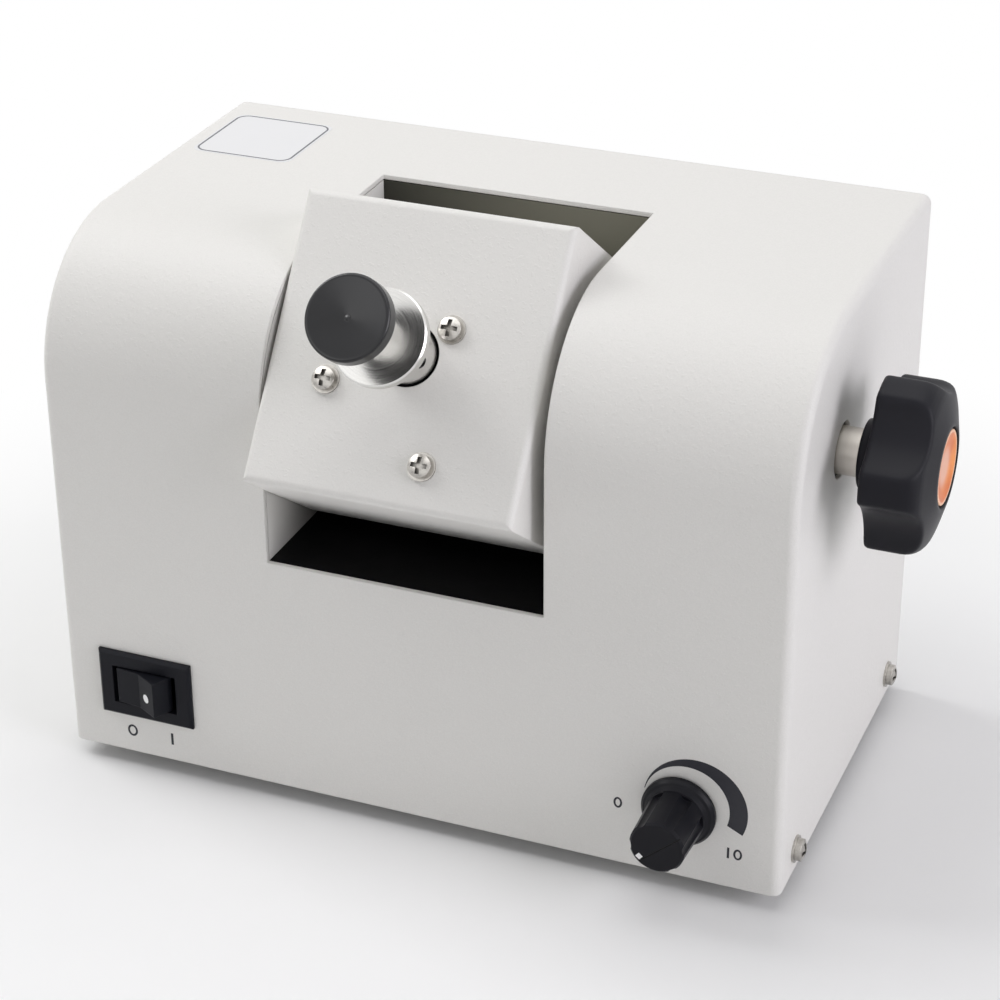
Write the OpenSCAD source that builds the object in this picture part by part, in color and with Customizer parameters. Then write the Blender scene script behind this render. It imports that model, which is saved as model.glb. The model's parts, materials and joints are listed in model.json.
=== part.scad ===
/* [Cabinet] */
// Outer width of the cover
cover_w = 200; // [190:1:230]
// Depth of the cover from front to back
cover_d = 115; // [108:1:140]
// Height of the cover above the base plate's underside
cover_h = 144.4; // [140:0.2:165]
// Thickness of the cover's sheet steel
sheet_t = 1.2; // [0.8:0.1:1.6]
// Outer radius of the wide bend between the front and the top
hood_r = 36.7; // [35:0.1:39]
// Outer radius of the sharp bends down both sides of the cover
edge_r = 2.6; // [2:0.1:4]
// Thickness of the base plate and its flanges
base_t = 1.5; // [1:0.1:2.5]
// Height of the base plate's side flanges
flange_h = 14; // [12:0.5:20]
// Clearance between the base plate's flanges and the cover
cover_gap = 0.2; // [0.1:0.05:0.4]
// Height of the rubber feet
foot_h = 5; // [3:0.5:10]
// Diameter of the rubber feet at the sole
foot_d = 13; // [11:0.5:18]
// Distance of the feet from the cabinet's edges
foot_inset = 18; // [14:1:26]

/* [Well and tilt axis] */
// Centre of the well, from the left side of the cover
well_x = 99.5; // [95:0.5:108]
// Width of the window in the cover
window_w = 75.2; // [72:0.2:82]
// Distance from the tilt axis to the well's floor and back wall
well_reach = 40.4; // [40.2:0.1:43]
// Thickness of the bracket that forms the well's walls
cheek_t = 2; // [1.5:0.1:3]
// Thickness of the well's floor plate
floor_t = 1.5; // [1:0.1:2.5]
// Angle that the head leans back, 0 with its face upright
tilt = 35.5; // [5:0.5:85]

/* [Head] */
// Gap between the head and the left side of the window
head_gap_l = 0.6; // [0.5:0.05:1.2]
// Gap between the head and the right side of the window
head_gap_r = 3.5; // [2.5:0.1:4]
// Height of the head's face
head_h = 74.8; // [71:0.2:76]
// Distance from the tilt axis to the outside of the face
face_reach = 34.2; // [32:0.1:36]
// Height of the spindle axis above the tilt axis
head_rise = 0.2; // [0:0.1:1]
// Outer radius of the bends round the face
head_r = 1.8; // [1.6:0.1:4]
// Radius swept by the rear of the head
swing_r = 39.4; // [38.6:0.1:39.8]

/* [Tilt pivot and clamp] */
// Diameter of the pivot bolt and the clamp stud
stud_d = 8; // [6:0.5:8]
// Outer diameter of the flanged pivot bush
bush_d = 12; // [11:0.5:14]
// Diameter of the bush's flange and of the friction washer
friction_d = 20; // [17:0.5:24]
// Outer diameter of the clamp spacer
spacer_d = 12; // [11:0.5:14]
// Diameter of the hole in the cover for the clamp spacer
spacer_hole_d = 14.6; // [14.5:0.1:17]
// Distance that the clamp spacer stands out of the cover
spacer_out = 5.9; // [3:0.1:10]
// Diameter over the lobes of the clamp knob
knob_d = 43.6; // [40:0.2:50]
// Number of lobes
knob_lobes = 5; // [5:1:7]
// Length of the knob from its boss to the rim of its face
knob_l = 19.9; // [18:0.1:24]
// Depth of the hollows between the lobes
knob_hollow = 4.4; // [3:0.1:5]
// Diameter of the knob's coloured centre cap
badge_d = 18.8; // [18:0.2:21]
// Angle of the knob's first lobe above the front
knob_turn = 5; // [0:1:71]

/* [Spindle] */
// Spindle axis from the cover's left side
spindle_x = 98.4; // [97.4:0.1:99.4]
// Diameter of the output shaft
shaft_d = 6; // [5:0.1:6.5]
// Diameter of the spindle hub
hub_d = 14.8; // [13:0.1:15.4]
// Distance from the face to the front of the hub's flange
flange_out = 20.8; // [18:0.1:26]
// Diameter of the hub's flange
flange_d = 24.2; // [21:0.2:30]
// Thickness of the hub's flange
flange_t = 3; // [2:0.1:4]
// Diameter of the neck in front of the flange
neck_d = 10.4; // [9.6:0.1:13]
// Length of the neck between the flange and the cap
neck_l = 14; // [10:0.5:20]
// Diameter of the spindle's cap
cap_d = 21; // [18:0.2:26]
// Length of the spindle's cap
cap_l = 6.4; // [5:0.1:9]
// Angle of the hub's set screws round the spindle
set_screw_turn = 340; // [0:5:355]

/* [Gearbox and motor] */
// Distance from the motor axis up to the spindle axis
shaft_offset = 9.3; // [8.8:0.1:9.4]
// Radius of the ring of face screws
face_screw_r = 19.6; // [19:0.1:20.5]
// Thickness of the gearbox's front plate
front_plate_t = 3; // [2.5:0.1:4]
// Thickness of the gearbox's rear plate
rear_plate_t = 1.5; // [1.2:0.1:2.5]
// Width of each gear's face
gear_w = 3; // [2.5:0.1:3.4]
// Space between neighbouring gears along their shafts
gear_space = 0.5; // [0.3:0.1:0.8]
// Diameter of the motor
motor_d = 32; // [28:0.5:33]
// Length of the motor
motor_l = 30; // [24:0.5:32]

/* [Rocker switch] */
// Width of the switch bezel
bezel_w = 27.2; // [24:0.1:32]
// Height of the switch bezel
bezel_h = 19.5; // [17:0.1:24]
// Distance that the bezel stands out of the front
bezel_out = 1.6; // [1:0.1:3]
// Centre of the switch from the cover's left side
switch_x = 24; // [20:0.5:34]
// Height of the switch's centre above the base
switch_z = 21.5; // [19:0.5:32]
// Length of the rocker
rocker_l = 16.4; // [15:0.1:18]
// Height of the rocker
rocker_h = 10.4; // [9:0.1:12]
// Angle that the rocker is pressed to either side
rocker_tilt = 18; // [14:0.5:18]

/* [Speed control] */
// Distance of the control from the cover's right side
speed_x = 26.5; // [22:0.5:36]
// Height of the control above the base
speed_z = 20; // [18:0.5:32]
// Diameter of the speed knob's skirt
skirt_d = 19.4; // [17:0.2:24]
// Diameter of the speed knob's body
dial_d = 15; // [12:0.1:16]
// Distance from the cover to the front of the speed knob
dial_out = 18; // [15:0.5:24]
// Number of flutes round the speed knob
dial_flutes = 6; // [5:1:9]
// Angle of the speed knob's pointer below the left
dial_turn = 36; // [0:1:90]

/* [Electronics] */
// Width of the control board
board_w = 64; // [56:1:68]
// Depth of the control board
board_d = 84; // [78:1:90]
// Height of the board's standoffs
standoff_h = 6; // [5:0.5:9]
// Centre of the mains inlet from the cover's left side
inlet_x = 36; // [32:0.5:50]
// Height of the mains inlet's centre above the base
inlet_z = 30; // [26:0.5:50]

/* [Hidden] */
$fn = 96;

// Clearances
run_gap = 0.08;     // radial, round a turning shaft
slip_gap = 0.05;    // radial, round a fixed shaft or screw
face_gap = 0.1;     // between faces that slide
seat_gap = 0.25;    // between pieces that only lie close
cut = 1;            // how far a cutter runs past a face

// Places in the cabinet, from its left front lower corner
pivot_y = hood_r;
pivot_z = cover_h - hood_r;
window_l = well_x - window_w / 2;
window_r = well_x + window_w / 2;
window_sill = pivot_z - well_reach;
window_back = pivot_y + well_reach;
inner_y = sheet_t + cover_gap;
front_y = sheet_t;

// Fasteners
m3_r = 1.5;
pan_r = 2.9;
pan_h = 2.3;
pan_crown_r = 5.5;
washer_r = 3.6;
washer_t = 0.6;
cross_w = 1.1;
cross_l = 4.2;
cross_depth = 1.3;
side_screw_l = 6;
side_screw_front = 13;
side_screw_rear = 12.5;
side_screw_z = 6.5;

// The head, measured from the tilt axis with the face upright
head_l = window_l + head_gap_l;
head_rt = window_r - head_gap_r;
head_w = head_rt - head_l;
head_mid = (head_l + head_rt) / 2;
face_in = face_reach - sheet_t;
hub_hole_r = hub_d / 2 + 0.6;
face_screw_angles = [60, 180, 300];

// The clamp along the tilt axis
cheek_r_out = window_r + cheek_t;
spacer_end = cover_w + spacer_out;
friction_t = 1.5;
stud_flange_r = 9;
stud_flange_t = 2;
stud_bite = 12;
insert_r = 6;
insert_l = 13.5;
boss_r = 8.7;
boss_flare_r = 11.6;
boss_l = 4.5;
knob_round = 1.2;
knob_shoulder = 4;
knob_dome = 3;
badge_groove_w = 0.8;
badge_groove_t = 1;
badge_depth = 2.4;
badge_crown = 0.5;
badge_proud = 0.1;
knob_reach = spacer_out + knob_l + badge_proud + badge_crown;

// Spindle, outwards from the face
hub_rear = -0.5;
cap_front = flange_out + neck_l + cap_l;
cap_round = 0.7;
cap_rim_w = 0.3;
cap_dish = 0.8;
cap_pip_r = 0.8;
cap_pip_h = 0.35;
cap_stud_r = 2.5;
cap_stud_l = 10;
cap_stud_bite = 3.6;
shaft_bite = 15;
set_screw_out = 7;
set_screw_r = 1.5;

// Gearbox, as large as the head's height lets it be, then backwards from the inside of the face
gearbox_clear = 1.9;
gearbox_d = head_h - 2 * (sheet_t + shaft_offset + gearbox_clear);
gear_module = gearbox_d / 100;
gear_room = 3 * gear_w + 4 * gear_space;
plate_y = -face_in;
gears_y = plate_y + front_plate_t;
rear_plate_y = gears_y + gear_room;
motor_y = rear_plate_y + rear_plate_t;
layer = gear_w + gear_space;
layer_3_y = gears_y + gear_space;
layer_2_y = layer_3_y + layer;
layer_1_y = layer_2_y + layer;
pinion_teeth = 12;
wheel_teeth = 36;
output_teeth = 48;
idler_pitch = gear_module * (pinion_teeth + wheel_teeth) / 2;
output_pitch = gear_module * (pinion_teeth + output_teeth) / 2;
// Idler b lies on both the circle of idler_pitch round the motor and that of output_pitch round the spindle
idler_b_z = (shaft_offset * shaft_offset + idler_pitch * idler_pitch
    - output_pitch * output_pitch) / (2 * shaft_offset);
idler_b_x = sqrt(idler_pitch * idler_pitch - idler_b_z * idler_b_z);
idler_b_angle = atan2(idler_b_z, idler_b_x);
idler_a_angle = idler_b_angle - 60;
idler_a_x = idler_pitch * cos(idler_a_angle);
idler_a_z = idler_pitch * sin(idler_a_angle);
gearbox_wall = 1.6;
case_screw_r = 1.25;
case_post_r = 2.4;
case_screw_angles = [45, 135, 225, 330];
gear_pin_r = 1;
motor_shaft_r = 1.15;
motor_boss_r = 5;
motor_boss_t = 1.2;
can_t = 0.8;
magnet_t = 3.2;
magnet_arc = 130;
rotor_gap = 0.6;
rotor_slots = 5;
rotor_l_share = 0.5;

// Rocker switch
rocker_pivot = 2.3;
rocker_ridge = 4.8;
rocker_dip = 1.4;
rocker_ridge_half = rocker_l / 2 - 1.4;
rocker_play = 0.45;
switch_room = 9;
switch_depth = 22;
switch_cut_w = 21.6;
switch_cut_h = 14.4;
bezel_edge = 0.8;
terminal_w = 4.8;
terminal_t = 0.8;
terminal_l = 8;

// Speed control
skirt_t = 2.4;
dial_gap = 0.5;
pot_r = 8;
pot_l = 9;
pot_bush_r = 3.5;
pot_bush_l = 6;
pot_shaft_r = 3;
pot_nut_r = 5;
pot_nut_t = 1.6;
flute_r = 2.2;
flute_depth = 0.75;

// Electronics
board_t = 1.6;
board_front = 10;
standoff_r = 2.75;
board_hole_inset = 4;
inlet_w = 27;
inlet_h = 19.5;
inlet_depth = 17;
inlet_wall = 1.5;
inlet_flange_w = 49;
inlet_flange_h = 22;
inlet_flange_t = 2.5;
inlet_pitch = 40;
pin_w = 4;
pin_t = 2;
pin_out = 13;
pin_tail = 7;
transformer_w = 30;
transformer_d = 26;
transformer_h = 27;
transformer_x = -14;
transformer_y = 58;
transformer_slot_w = 5;
transformer_slot_h = 15;
transformer_slot_t = 4;
capacitor_x = [16, 22, 22];
capacitor_y = [60, 40, 28];
capacitor_r = [8, 5, 5];
capacitor_h = [25, 16, 16];
fin_count = 6;
fin_pitch = 4;
fin_t = 1.4;
fin_reach = 10;
heat_sink_x = -10;
heat_sink_y = 26;
heat_sink_w = 22;
heat_sink_h = 24;
heat_sink_t = 3;
block_w = 15;
block_d = 8;
block_h = 10;
block_x = 14;
block_y = 8;
block_pitch = 5;

// Where the whole part's middle lies in the cabinet, from its outermost pieces at rest
screw_out = washer_t + pan_h;
mid_x = (cover_w + knob_reach - screw_out) / 2;
cap_rim_out = face_reach + cap_front - cap_round;
cap_rim_r = cap_d / 2 - cap_round;
front_reach = cap_rim_out * cos(tilt) + cap_rim_r * sin(tilt) + cap_round
    - head_rise * sin(tilt) - pivot_y;
mid_y = (cover_d + inlet_flange_t - front_reach) / 2;

// Frames
module in_cabinet() {
    translate([-mid_x, -mid_y, foot_h])
        children();
}

// The tilt axis, with X counted from the cover's left side
module on_tilt_axis() {
    in_cabinet()
        translate([0, pivot_y, pivot_z])
            children();
}

// The head's own frame: its origin is on the spindle axis above the tilt axis, its face looks along -Y
module in_head() {
    on_tilt_axis()
        rotate([-tilt, 0, 0])
            translate([spindle_x, 0, head_rise])
                children();
}

// The head's frame moved down to the motor axis
module at_motor() {
    in_head()
        translate([0, 0, -shaft_offset])
            children();
}

// Outwards along the spindle, from the outside of the face, with the axis as +Z
module on_spindle() {
    in_head()
        translate([0, -face_reach, 0])
            rotate([90, 0, 0])
                children();
}

// Outwards along the clamp axis, from the end of the spacer, with the axis as +Z
module on_clamp() {
    in_cabinet()
        translate([spacer_end, pivot_y, pivot_z])
            rotate([0, 90, 0])
                children();
}

// Outwards from the cover's front, with the axis as +Z and the height as +Y
module on_front(x, z) {
    in_cabinet()
        translate([x, 0, z])
            rotate([90, 0, 0])
                children();
}

// Rods along X and Y
module rod_x(r, x0, x1) {
    translate([x0, 0, 0])
        rotate([0, 90, 0])
            cylinder(r = r, h = x1 - x0);
}

module rod_y(r, y0, y1) {
    translate([0, y0, 0])
        rotate([-90, 0, 0])
            cylinder(r = r, h = y1 - y0);
}

// A flat ring or washer on Z = 0
module ring(outer_r, inner_r, h) {
    difference() {
        cylinder(r = outer_r, h = h);
        translate([0, 0, -cut])
            cylinder(r = inner_r, h = h + 2 * cut);
    }
}

// Points on an arc of the circle with the given centre and radius
function arc_points(cx, cy, r, from, to, steps) = [
    for (i = [0 : steps])
        let (a = from + (to - from) * i / steps)
        [cx + r * cos(a), cy + r * sin(a)]
];

// A pan head screw whose head stands on Z = 0 and whose shank goes down
module pan_screw(l) {
    difference() {
        union() {
            intersection() {
                cylinder(r = pan_r, h = pan_h);
                translate([0, 0, pan_h - pan_crown_r])
                    sphere(r = pan_crown_r);
            }
            translate([0, 0, -l])
                cylinder(r = m3_r - slip_gap, h = l + pan_h / 2);
        }
        for (a = [0, 90])
            rotate([0, 0, a])
                translate([-cross_l / 2, -cross_w / 2, pan_h - cross_depth])
                    cube([cross_l, cross_w, cross_depth + cut]);
    }
}

// Cabinet sheet metal
// The hood's cross-section, lying across the cabinet: X is the width, Y the distance from the bend's axis
module hood_section(inset) {
    r = edge_r - inset;
    w = cover_w - 2 * inset;
    reach = hood_r - inset;
    translate([inset, 0])
        square([w, reach - r]);
    translate([inset + r, 0])
        square([w - 2 * r, reach]);
    for (x = [inset + r, cover_w - inset - r])
        translate([x, reach - r])
            circle(r = r);
}

// The hood's solid: that section up the front, round the bend and along the top, and the sides behind
module hood_solid(inset, bottom, back) {
    translate([0, hood_r, bottom])
        linear_extrude(pivot_z - bottom)
            mirror([0, 1])
                hood_section(inset);
    translate([cover_w, hood_r, pivot_z])
        rotate([90, 0, -90])
            rotate_extrude(angle = 90)
                mirror([1, -1])
                    hood_section(inset);
    translate([0, back, pivot_z])
        rotate([90, 0, 0])
            linear_extrude(back - hood_r)
                hood_section(inset);
    translate([inset, hood_r, bottom])
        cube([cover_w - 2 * inset, back - hood_r, pivot_z - bottom]);
}

// The hood's side outline, for plates that stand inside it: Y and Z of the cabinet
module hood_outline(inset, bottom, back) {
    translate([inset, bottom])
        square([back - inset, pivot_z - bottom]);
    translate([hood_r, bottom])
        square([back - hood_r, cover_h - inset - bottom]);
    translate([hood_r, pivot_z])
        circle(r = hood_r - inset);
}

// Extrudes an outline drawn in Y and Z along X
module along_x(x0, x1) {
    translate([x0, 0, 0])
        rotate([90, 0, 90])
            linear_extrude(x1 - x0)
                children();
}

// Places of the cover's side screws
module at_side_screws() {
    for (side = [0, 1])
        for (y = [side_screw_front, cover_d - side_screw_rear])
            translate([side * cover_w, y, side_screw_z])
                rotate([0, side == 0 ? -90 : 90, 0])
                    children();
}

module cover() {
    color("#ececea")
        in_cabinet()
            difference() {
                hood_solid(0, 0, cover_d);
                hood_solid(sheet_t, -cut, cover_d + cut);
                translate([window_l, -cut, window_sill])
                    cube([window_w, window_back + cut, cover_h]);
                translate([0, pivot_y, pivot_z])
                    rod_x(spacer_hole_d / 2, cover_w / 2, cover_w + cut);
                translate([switch_x - switch_cut_w / 2, -cut, switch_z - switch_cut_h / 2])
                    cube([switch_cut_w, sheet_t + 2 * cut, switch_cut_h]);
                translate([cover_w - speed_x, 0, speed_z])
                    rod_y(pot_bush_r + slip_gap, -cut, sheet_t + cut);
                at_side_screws()
                    translate([0, 0, -sheet_t - cut])
                        cylinder(r = m3_r + slip_gap, h = sheet_t + 2 * cut);
            }
}

module base_plate() {
    side = sheet_t + cover_gap;
    color("#c9c9c4")
        in_cabinet()
            difference() {
                intersection() {
                    hood_solid(side, 0, cover_d);
                    union() {
                        cube([cover_w, cover_d, base_t]);
                        for (x = [side, cover_w - side - base_t])
                            translate([x, inner_y, 0])
                                cube([base_t, cover_d - inner_y, flange_h]);
                        translate([0, cover_d - base_t, 0])
                            cube([cover_w, base_t, cover_h]);
                    }
                }
                at_side_screws()
                    translate([0, 0, -side - base_t - cut])
                        cylinder(r = m3_r, h = base_t + 2 * cut);
                at_feet()
                    translate([0, 0, -cut])
                        cylinder(r = m3_r, h = base_t + 2 * cut);
                at_bracket_screws()
                    translate([0, 0, -cut])
                        cylinder(r = m3_r, h = base_t + 2 * cut);
                at_board_holes()
                    translate([0, 0, -cut])
                        cylinder(r = m3_r, h = base_t + 2 * cut);
                translate([inlet_x - inlet_w / 2 - seat_gap, cover_d - base_t - cut,
                    inlet_z - inlet_h / 2 - seat_gap])
                    cube([inlet_w + 2 * seat_gap, base_t + 2 * cut, inlet_h + 2 * seat_gap]);
                at_inlet_screws()
                    rod_y(m3_r, -base_t - cut, cut);
            }
}

// The bent bracket: two cheeks and the back wall of the well, on feet that are screwed to the base
bracket_foot_w = 12;
bracket_foot_l = 20;

module well_bracket() {
    inset = sheet_t + seat_gap;
    color("#dcdcd8")
        in_cabinet()
            difference() {
                union() {
                    for (x = [window_l - cheek_t, window_r])
                        along_x(x, x + cheek_t)
                            intersection() {
                                hood_outline(inset, base_t, window_back + cheek_t);
                                translate([0, base_t])
                                    square([window_back + cheek_t, cover_h]);
                            }
                    translate([window_l, window_back, window_sill - bracket_foot_w])
                        cube([window_w, cheek_t, cover_h - inset - window_sill + bracket_foot_w]);
                    for (y = [inset + cover_gap, window_back + cheek_t - bracket_foot_l])
                        for (x = [window_l - cheek_t - bracket_foot_w, window_r + cheek_t])
                            translate([x, y, base_t])
                                cube([bracket_foot_w, bracket_foot_l, cheek_t]);
                }
                at_bracket_screws()
                    translate([0, 0, base_t - cut])
                        cylinder(r = m3_r + slip_gap, h = cheek_t + 2 * cut);
                translate([0, pivot_y, pivot_z]) {
                    rod_x(bush_d / 2 + slip_gap, window_l - cheek_t - cut, window_l + cut);
                    rod_x(stud_d / 2 + run_gap, window_r - cut, window_r + cheek_t + cut);
                }
                translate([well_x, 0, grommet_z])
                    rod_y(grommet_hole_r, window_back - cut, window_back + cheek_t + cut);
            }
}

module at_bracket_screws() {
    inset = sheet_t + seat_gap + cover_gap;
    for (y = [inset + bracket_foot_l / 2, window_back + cheek_t - bracket_foot_l / 2])
        for (x = [window_l - cheek_t - bracket_foot_w / 2, window_r + cheek_t + bracket_foot_w / 2])
            translate([x, y, 0])
                children();
}

module bracket_screws() {
    color("#b8b6b0")
        in_cabinet()
            at_bracket_screws()
                translate([0, 0, base_t + cheek_t])
                    pan_screw(cheek_t + base_t);
}

// The floor plate of the well hangs between the cheeks on its two turned-down flanges
floor_flange = 10;

module well_floor() {
    front = sheet_t + seat_gap;
    color("#1b1b1d")
        in_cabinet()
            translate([window_l, front, window_sill - floor_t]) {
                cube([window_w, window_back - front, floor_t]);
                for (x = [0, window_w - floor_t])
                    translate([x, 0, -floor_flange])
                        cube([floor_t, window_back - front, floor_flange]);
            }
}

// The rubber grommet that the motor's lead passes through, in the back wall of the well
grommet_z = window_sill + 8;
grommet_r = 5.5;
grommet_hole_r = 4;
grommet_bore_r = 2.5;
grommet_lip = 0.9;

module lead_grommet() {
    color("#202022")
        in_cabinet()
            translate([well_x, 0, grommet_z])
                difference() {
                    union() {
                        rod_y(grommet_hole_r - slip_gap, window_back - grommet_lip / 2,
                            window_back + cheek_t + grommet_lip / 2);
                        rod_y(grommet_r, window_back - grommet_lip, window_back);
                        rod_y(grommet_r, window_back + cheek_t, window_back + cheek_t + grommet_lip);
                    }
                    rod_y(grommet_bore_r, window_back - grommet_lip - cut,
                        window_back + cheek_t + grommet_lip + cut);
                }
}

// Feet
foot_taper = 1;
foot_recess_r = 3.4;
foot_web = 1.6;

module at_feet() {
    for (x = [foot_inset, cover_w - foot_inset])
        for (y = [foot_inset, cover_d - foot_inset])
            translate([x, y, 0])
                children();
}

module feet() {
    color("#222224")
        in_cabinet()
            at_feet()
                translate([0, 0, -foot_h])
                    difference() {
                        rotate_extrude()
                            polygon([
                                [m3_r + slip_gap, foot_h - foot_web],
                                [foot_recess_r, foot_h - foot_web],
                                [foot_recess_r, 0],
                                [foot_d / 2, 0],
                                [foot_d / 2 + foot_taper, foot_h],
                                [m3_r + slip_gap, foot_h]
                            ]);
                    }
}

module foot_screws() {
    color("#b8b6b0")
        in_cabinet()
            at_feet()
                translate([0, 0, -foot_web])
                    mirror([0, 0, 1])
                        pan_screw(foot_web + base_t + 1);
}

module cover_screws() {
    color("#c8c4bc")
        in_cabinet()
            at_side_screws()
                translate([0, 0, washer_t])
                    pan_screw(side_screw_l);
}

module cover_washers() {
    color("#d2d0ca")
        in_cabinet()
            at_side_screws()
                ring(washer_r, m3_r + slip_gap, washer_t);
}

// Mains inlet
module at_inlet_screws() {
    for (side = [-1, 1])
        translate([inlet_x + side * inlet_pitch / 2, cover_d, inlet_z])
            children();
}

module mains_inlet() {
    color("#1d1d1f")
        in_cabinet()
            translate([inlet_x, cover_d, inlet_z])
                difference() {
                    union() {
                        translate([-inlet_flange_w / 2, 0, -inlet_flange_h / 2])
                            cube([inlet_flange_w, inlet_flange_t, inlet_flange_h]);
                        translate([-inlet_w / 2, -inlet_depth, -inlet_h / 2])
                            cube([inlet_w, inlet_depth, inlet_h]);
                    }
                    translate([-inlet_w / 2 + inlet_wall, -inlet_depth + inlet_wall, -inlet_h / 2 + inlet_wall])
                        cube([inlet_w - 2 * inlet_wall, inlet_depth + inlet_flange_t, inlet_h - 2 * inlet_wall]);
                    for (side = [-1, 1])
                        translate([side * inlet_pitch / 2, 0, 0]) {
                            rod_y(m3_r + slip_gap, -cut, inlet_flange_t + cut);
                            translate([0, inlet_flange_t - countersink, 0])
                                rotate([-90, 0, 0])
                                    cylinder(r1 = m3_r + slip_gap, r2 = m3_r + countersink + slip_gap,
                                        h = countersink);
                        }
                    at_inlet_pins()
                        translate([-pin_w / 2, -inlet_depth - cut, -pin_t / 2])
                            cube([pin_w, inlet_wall + 2 * cut, pin_t]);
                }
}

countersink = 1.5;

// The earth pin stands above the two live ones
pin_spread = 7;
pin_rise = 2;

module at_inlet_pins() {
    for (place = [[-pin_spread, -pin_rise], [pin_spread, -pin_rise], [0, pin_rise]])
        translate([place[0], 0, place[1]])
            rotate([0, 90, 0])
                children();
}

module inlet_pins() {
    color("#c8c2b0")
        in_cabinet()
            translate([inlet_x, cover_d, inlet_z])
                at_inlet_pins()
                    translate([-pin_w / 2, -inlet_depth - pin_tail, -pin_t / 2])
                        cube([pin_w, pin_tail + inlet_wall + pin_out, pin_t]);
}

module inlet_screws() {
    color("#c8c4bc")
        in_cabinet()
            at_inlet_screws()
                translate([0, inlet_flange_t, 0])
                    rotate([90, 0, 0]) {
                        cylinder(r1 = m3_r + countersink - slip_gap, r2 = m3_r - slip_gap, h = countersink);
                        cylinder(r = m3_r - slip_gap, h = inlet_flange_t + base_t + 2);
                    }
}

// Rocker switch: the body is drawn in the front's frame, +Z out of the cover
module switch_body() {
    room_l = rocker_l + 2 * rocker_play + 1.4;
    room_h = rocker_h + 2 * rocker_play;
    color("#242529")
        on_front(switch_x, switch_z)
            difference() {
                union() {
                    intersection() {
                        translate([-bezel_w / 2, -bezel_h / 2, 0])
                            cube([bezel_w, bezel_h, bezel_out]);
                        rotate([90, 0, 0])
                            translate([0, 0, -bezel_h])
                                linear_extrude(2 * bezel_h)
                                    polygon([
                                        [-bezel_w / 2, 0],
                                        [bezel_w / 2, 0],
                                        [bezel_w / 2, bezel_out - bezel_edge],
                                        [bezel_w / 2 - bezel_edge, bezel_out],
                                        [-bezel_w / 2 + bezel_edge, bezel_out],
                                        [-bezel_w / 2, bezel_out - bezel_edge]
                                    ]);
                        rotate([90, 0, 90])
                            translate([0, 0, -bezel_w])
                                linear_extrude(2 * bezel_w)
                                    polygon([
                                        [-bezel_h / 2, 0],
                                        [bezel_h / 2, 0],
                                        [bezel_h / 2, bezel_out - bezel_edge],
                                        [bezel_h / 2 - bezel_edge, bezel_out],
                                        [-bezel_h / 2 + bezel_edge, bezel_out],
                                        [-bezel_h / 2, bezel_out - bezel_edge]
                                    ]);
                    }
                    translate([-switch_cut_w / 2 + slip_gap, -switch_cut_h / 2 + slip_gap, -switch_depth])
                        cube([switch_cut_w - 2 * slip_gap, switch_cut_h - 2 * slip_gap, switch_depth]);
                }
                translate([-room_l / 2, -room_h / 2, -switch_room])
                    cube([room_l, room_h, switch_room + bezel_out + cut]);
                translate([0, 0, bezel_out - rocker_pivot])
                    rotate([90, 0, 0])
                        translate([0, 0, -switch_cut_h / 2 + 0.8])
                            cylinder(r = rocker_pin_r + run_gap, h = switch_cut_h - 1.6);
                for (z = [-1, 1])
                    for (x = [-1, 1])
                        translate([x * switch_cut_w / 4 - terminal_t / 2, z * switch_cut_h / 4 - terminal_w / 2,
                            -switch_depth - cut])
                            cube([terminal_t, terminal_w, cut + 3]);
            }
}

rocker_pin_r = 1.2;

// Four flat blade terminals out of the switch's back
module switch_terminals() {
    color("#c9c3ae")
        on_front(switch_x, switch_z)
            for (z = [-1, 1])
                for (x = [-1, 1])
                    translate([x * switch_cut_w / 4 - terminal_t / 2, z * switch_cut_h / 4 - terminal_w / 2,
                        -switch_depth - terminal_l])
                        cube([terminal_t, terminal_w, terminal_l + 3]);
}

// The rocker is pressed in at the left: its right ridge stands out
module rocker() {
    half = rocker_l / 2 - 0.7;
    color("#2a2b30")
        on_front(switch_x, switch_z)
            translate([0, 0, bezel_out - rocker_pivot])
                rotate([0, -rocker_tilt, 0])
                    rotate([90, 0, 0]) {
                        translate([0, 0, -rocker_h / 2])
                            linear_extrude(rocker_h)
                                polygon([
                                    [-half, -1.5],
                                    [-rocker_pin_r - 1.5, -3],
                                    [rocker_pin_r + 1.5, -3],
                                    [half, -1.5],
                                    [half, 0],
                                    [rocker_ridge_half, rocker_ridge],
                                    [0, rocker_ridge - rocker_dip],
                                    [-rocker_ridge_half, rocker_ridge],
                                    [-half, 0]
                                ]);
                        translate([0, 0, -rocker_h / 2 - 0.9])
                            cylinder(r = rocker_pin_r, h = rocker_h + 1.8);
                    }
}

// Speed control
module speed_pot() {
    color("#8c8f8a")
        on_front(cover_w - speed_x, speed_z)
            difference() {
                union() {
                    translate([0, 0, -sheet_t - pot_l])
                        cylinder(r = pot_r, h = pot_l);
                    translate([0, 0, -sheet_t - 0.5])
                        cylinder(r = pot_bush_r, h = sheet_t + 0.5 + pot_bush_l - sheet_t - 2);
                    for (x = [-1, 0, 1])
                        translate([x * 4 - 0.6, -pot_r - 5, -sheet_t - 6])
                            cube([1.2, 6, 0.8]);
                }
                translate([0, 0, -sheet_t - pot_l + 1])
                    cylinder(r = pot_shaft_r + run_gap, h = pot_l + pot_bush_l);
            }
}

module pot_shaft() {
    color("#c9c7c0")
        on_front(cover_w - speed_x, speed_z)
            translate([0, 0, -sheet_t - pot_l + 1 + face_gap])
                cylinder(r = pot_shaft_r, h = pot_l + sheet_t + dial_out - 4 - 1 - face_gap);
}

module pot_nut() {
    color("#c9c7c0")
        on_front(cover_w - speed_x, speed_z)
            difference() {
                cylinder(r = pot_nut_r, h = pot_nut_t, $fn = 6);
                translate([0, 0, -cut])
                    cylinder(r = pot_bush_r + slip_gap, h = pot_nut_t + 2 * cut);
            }
}

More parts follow.
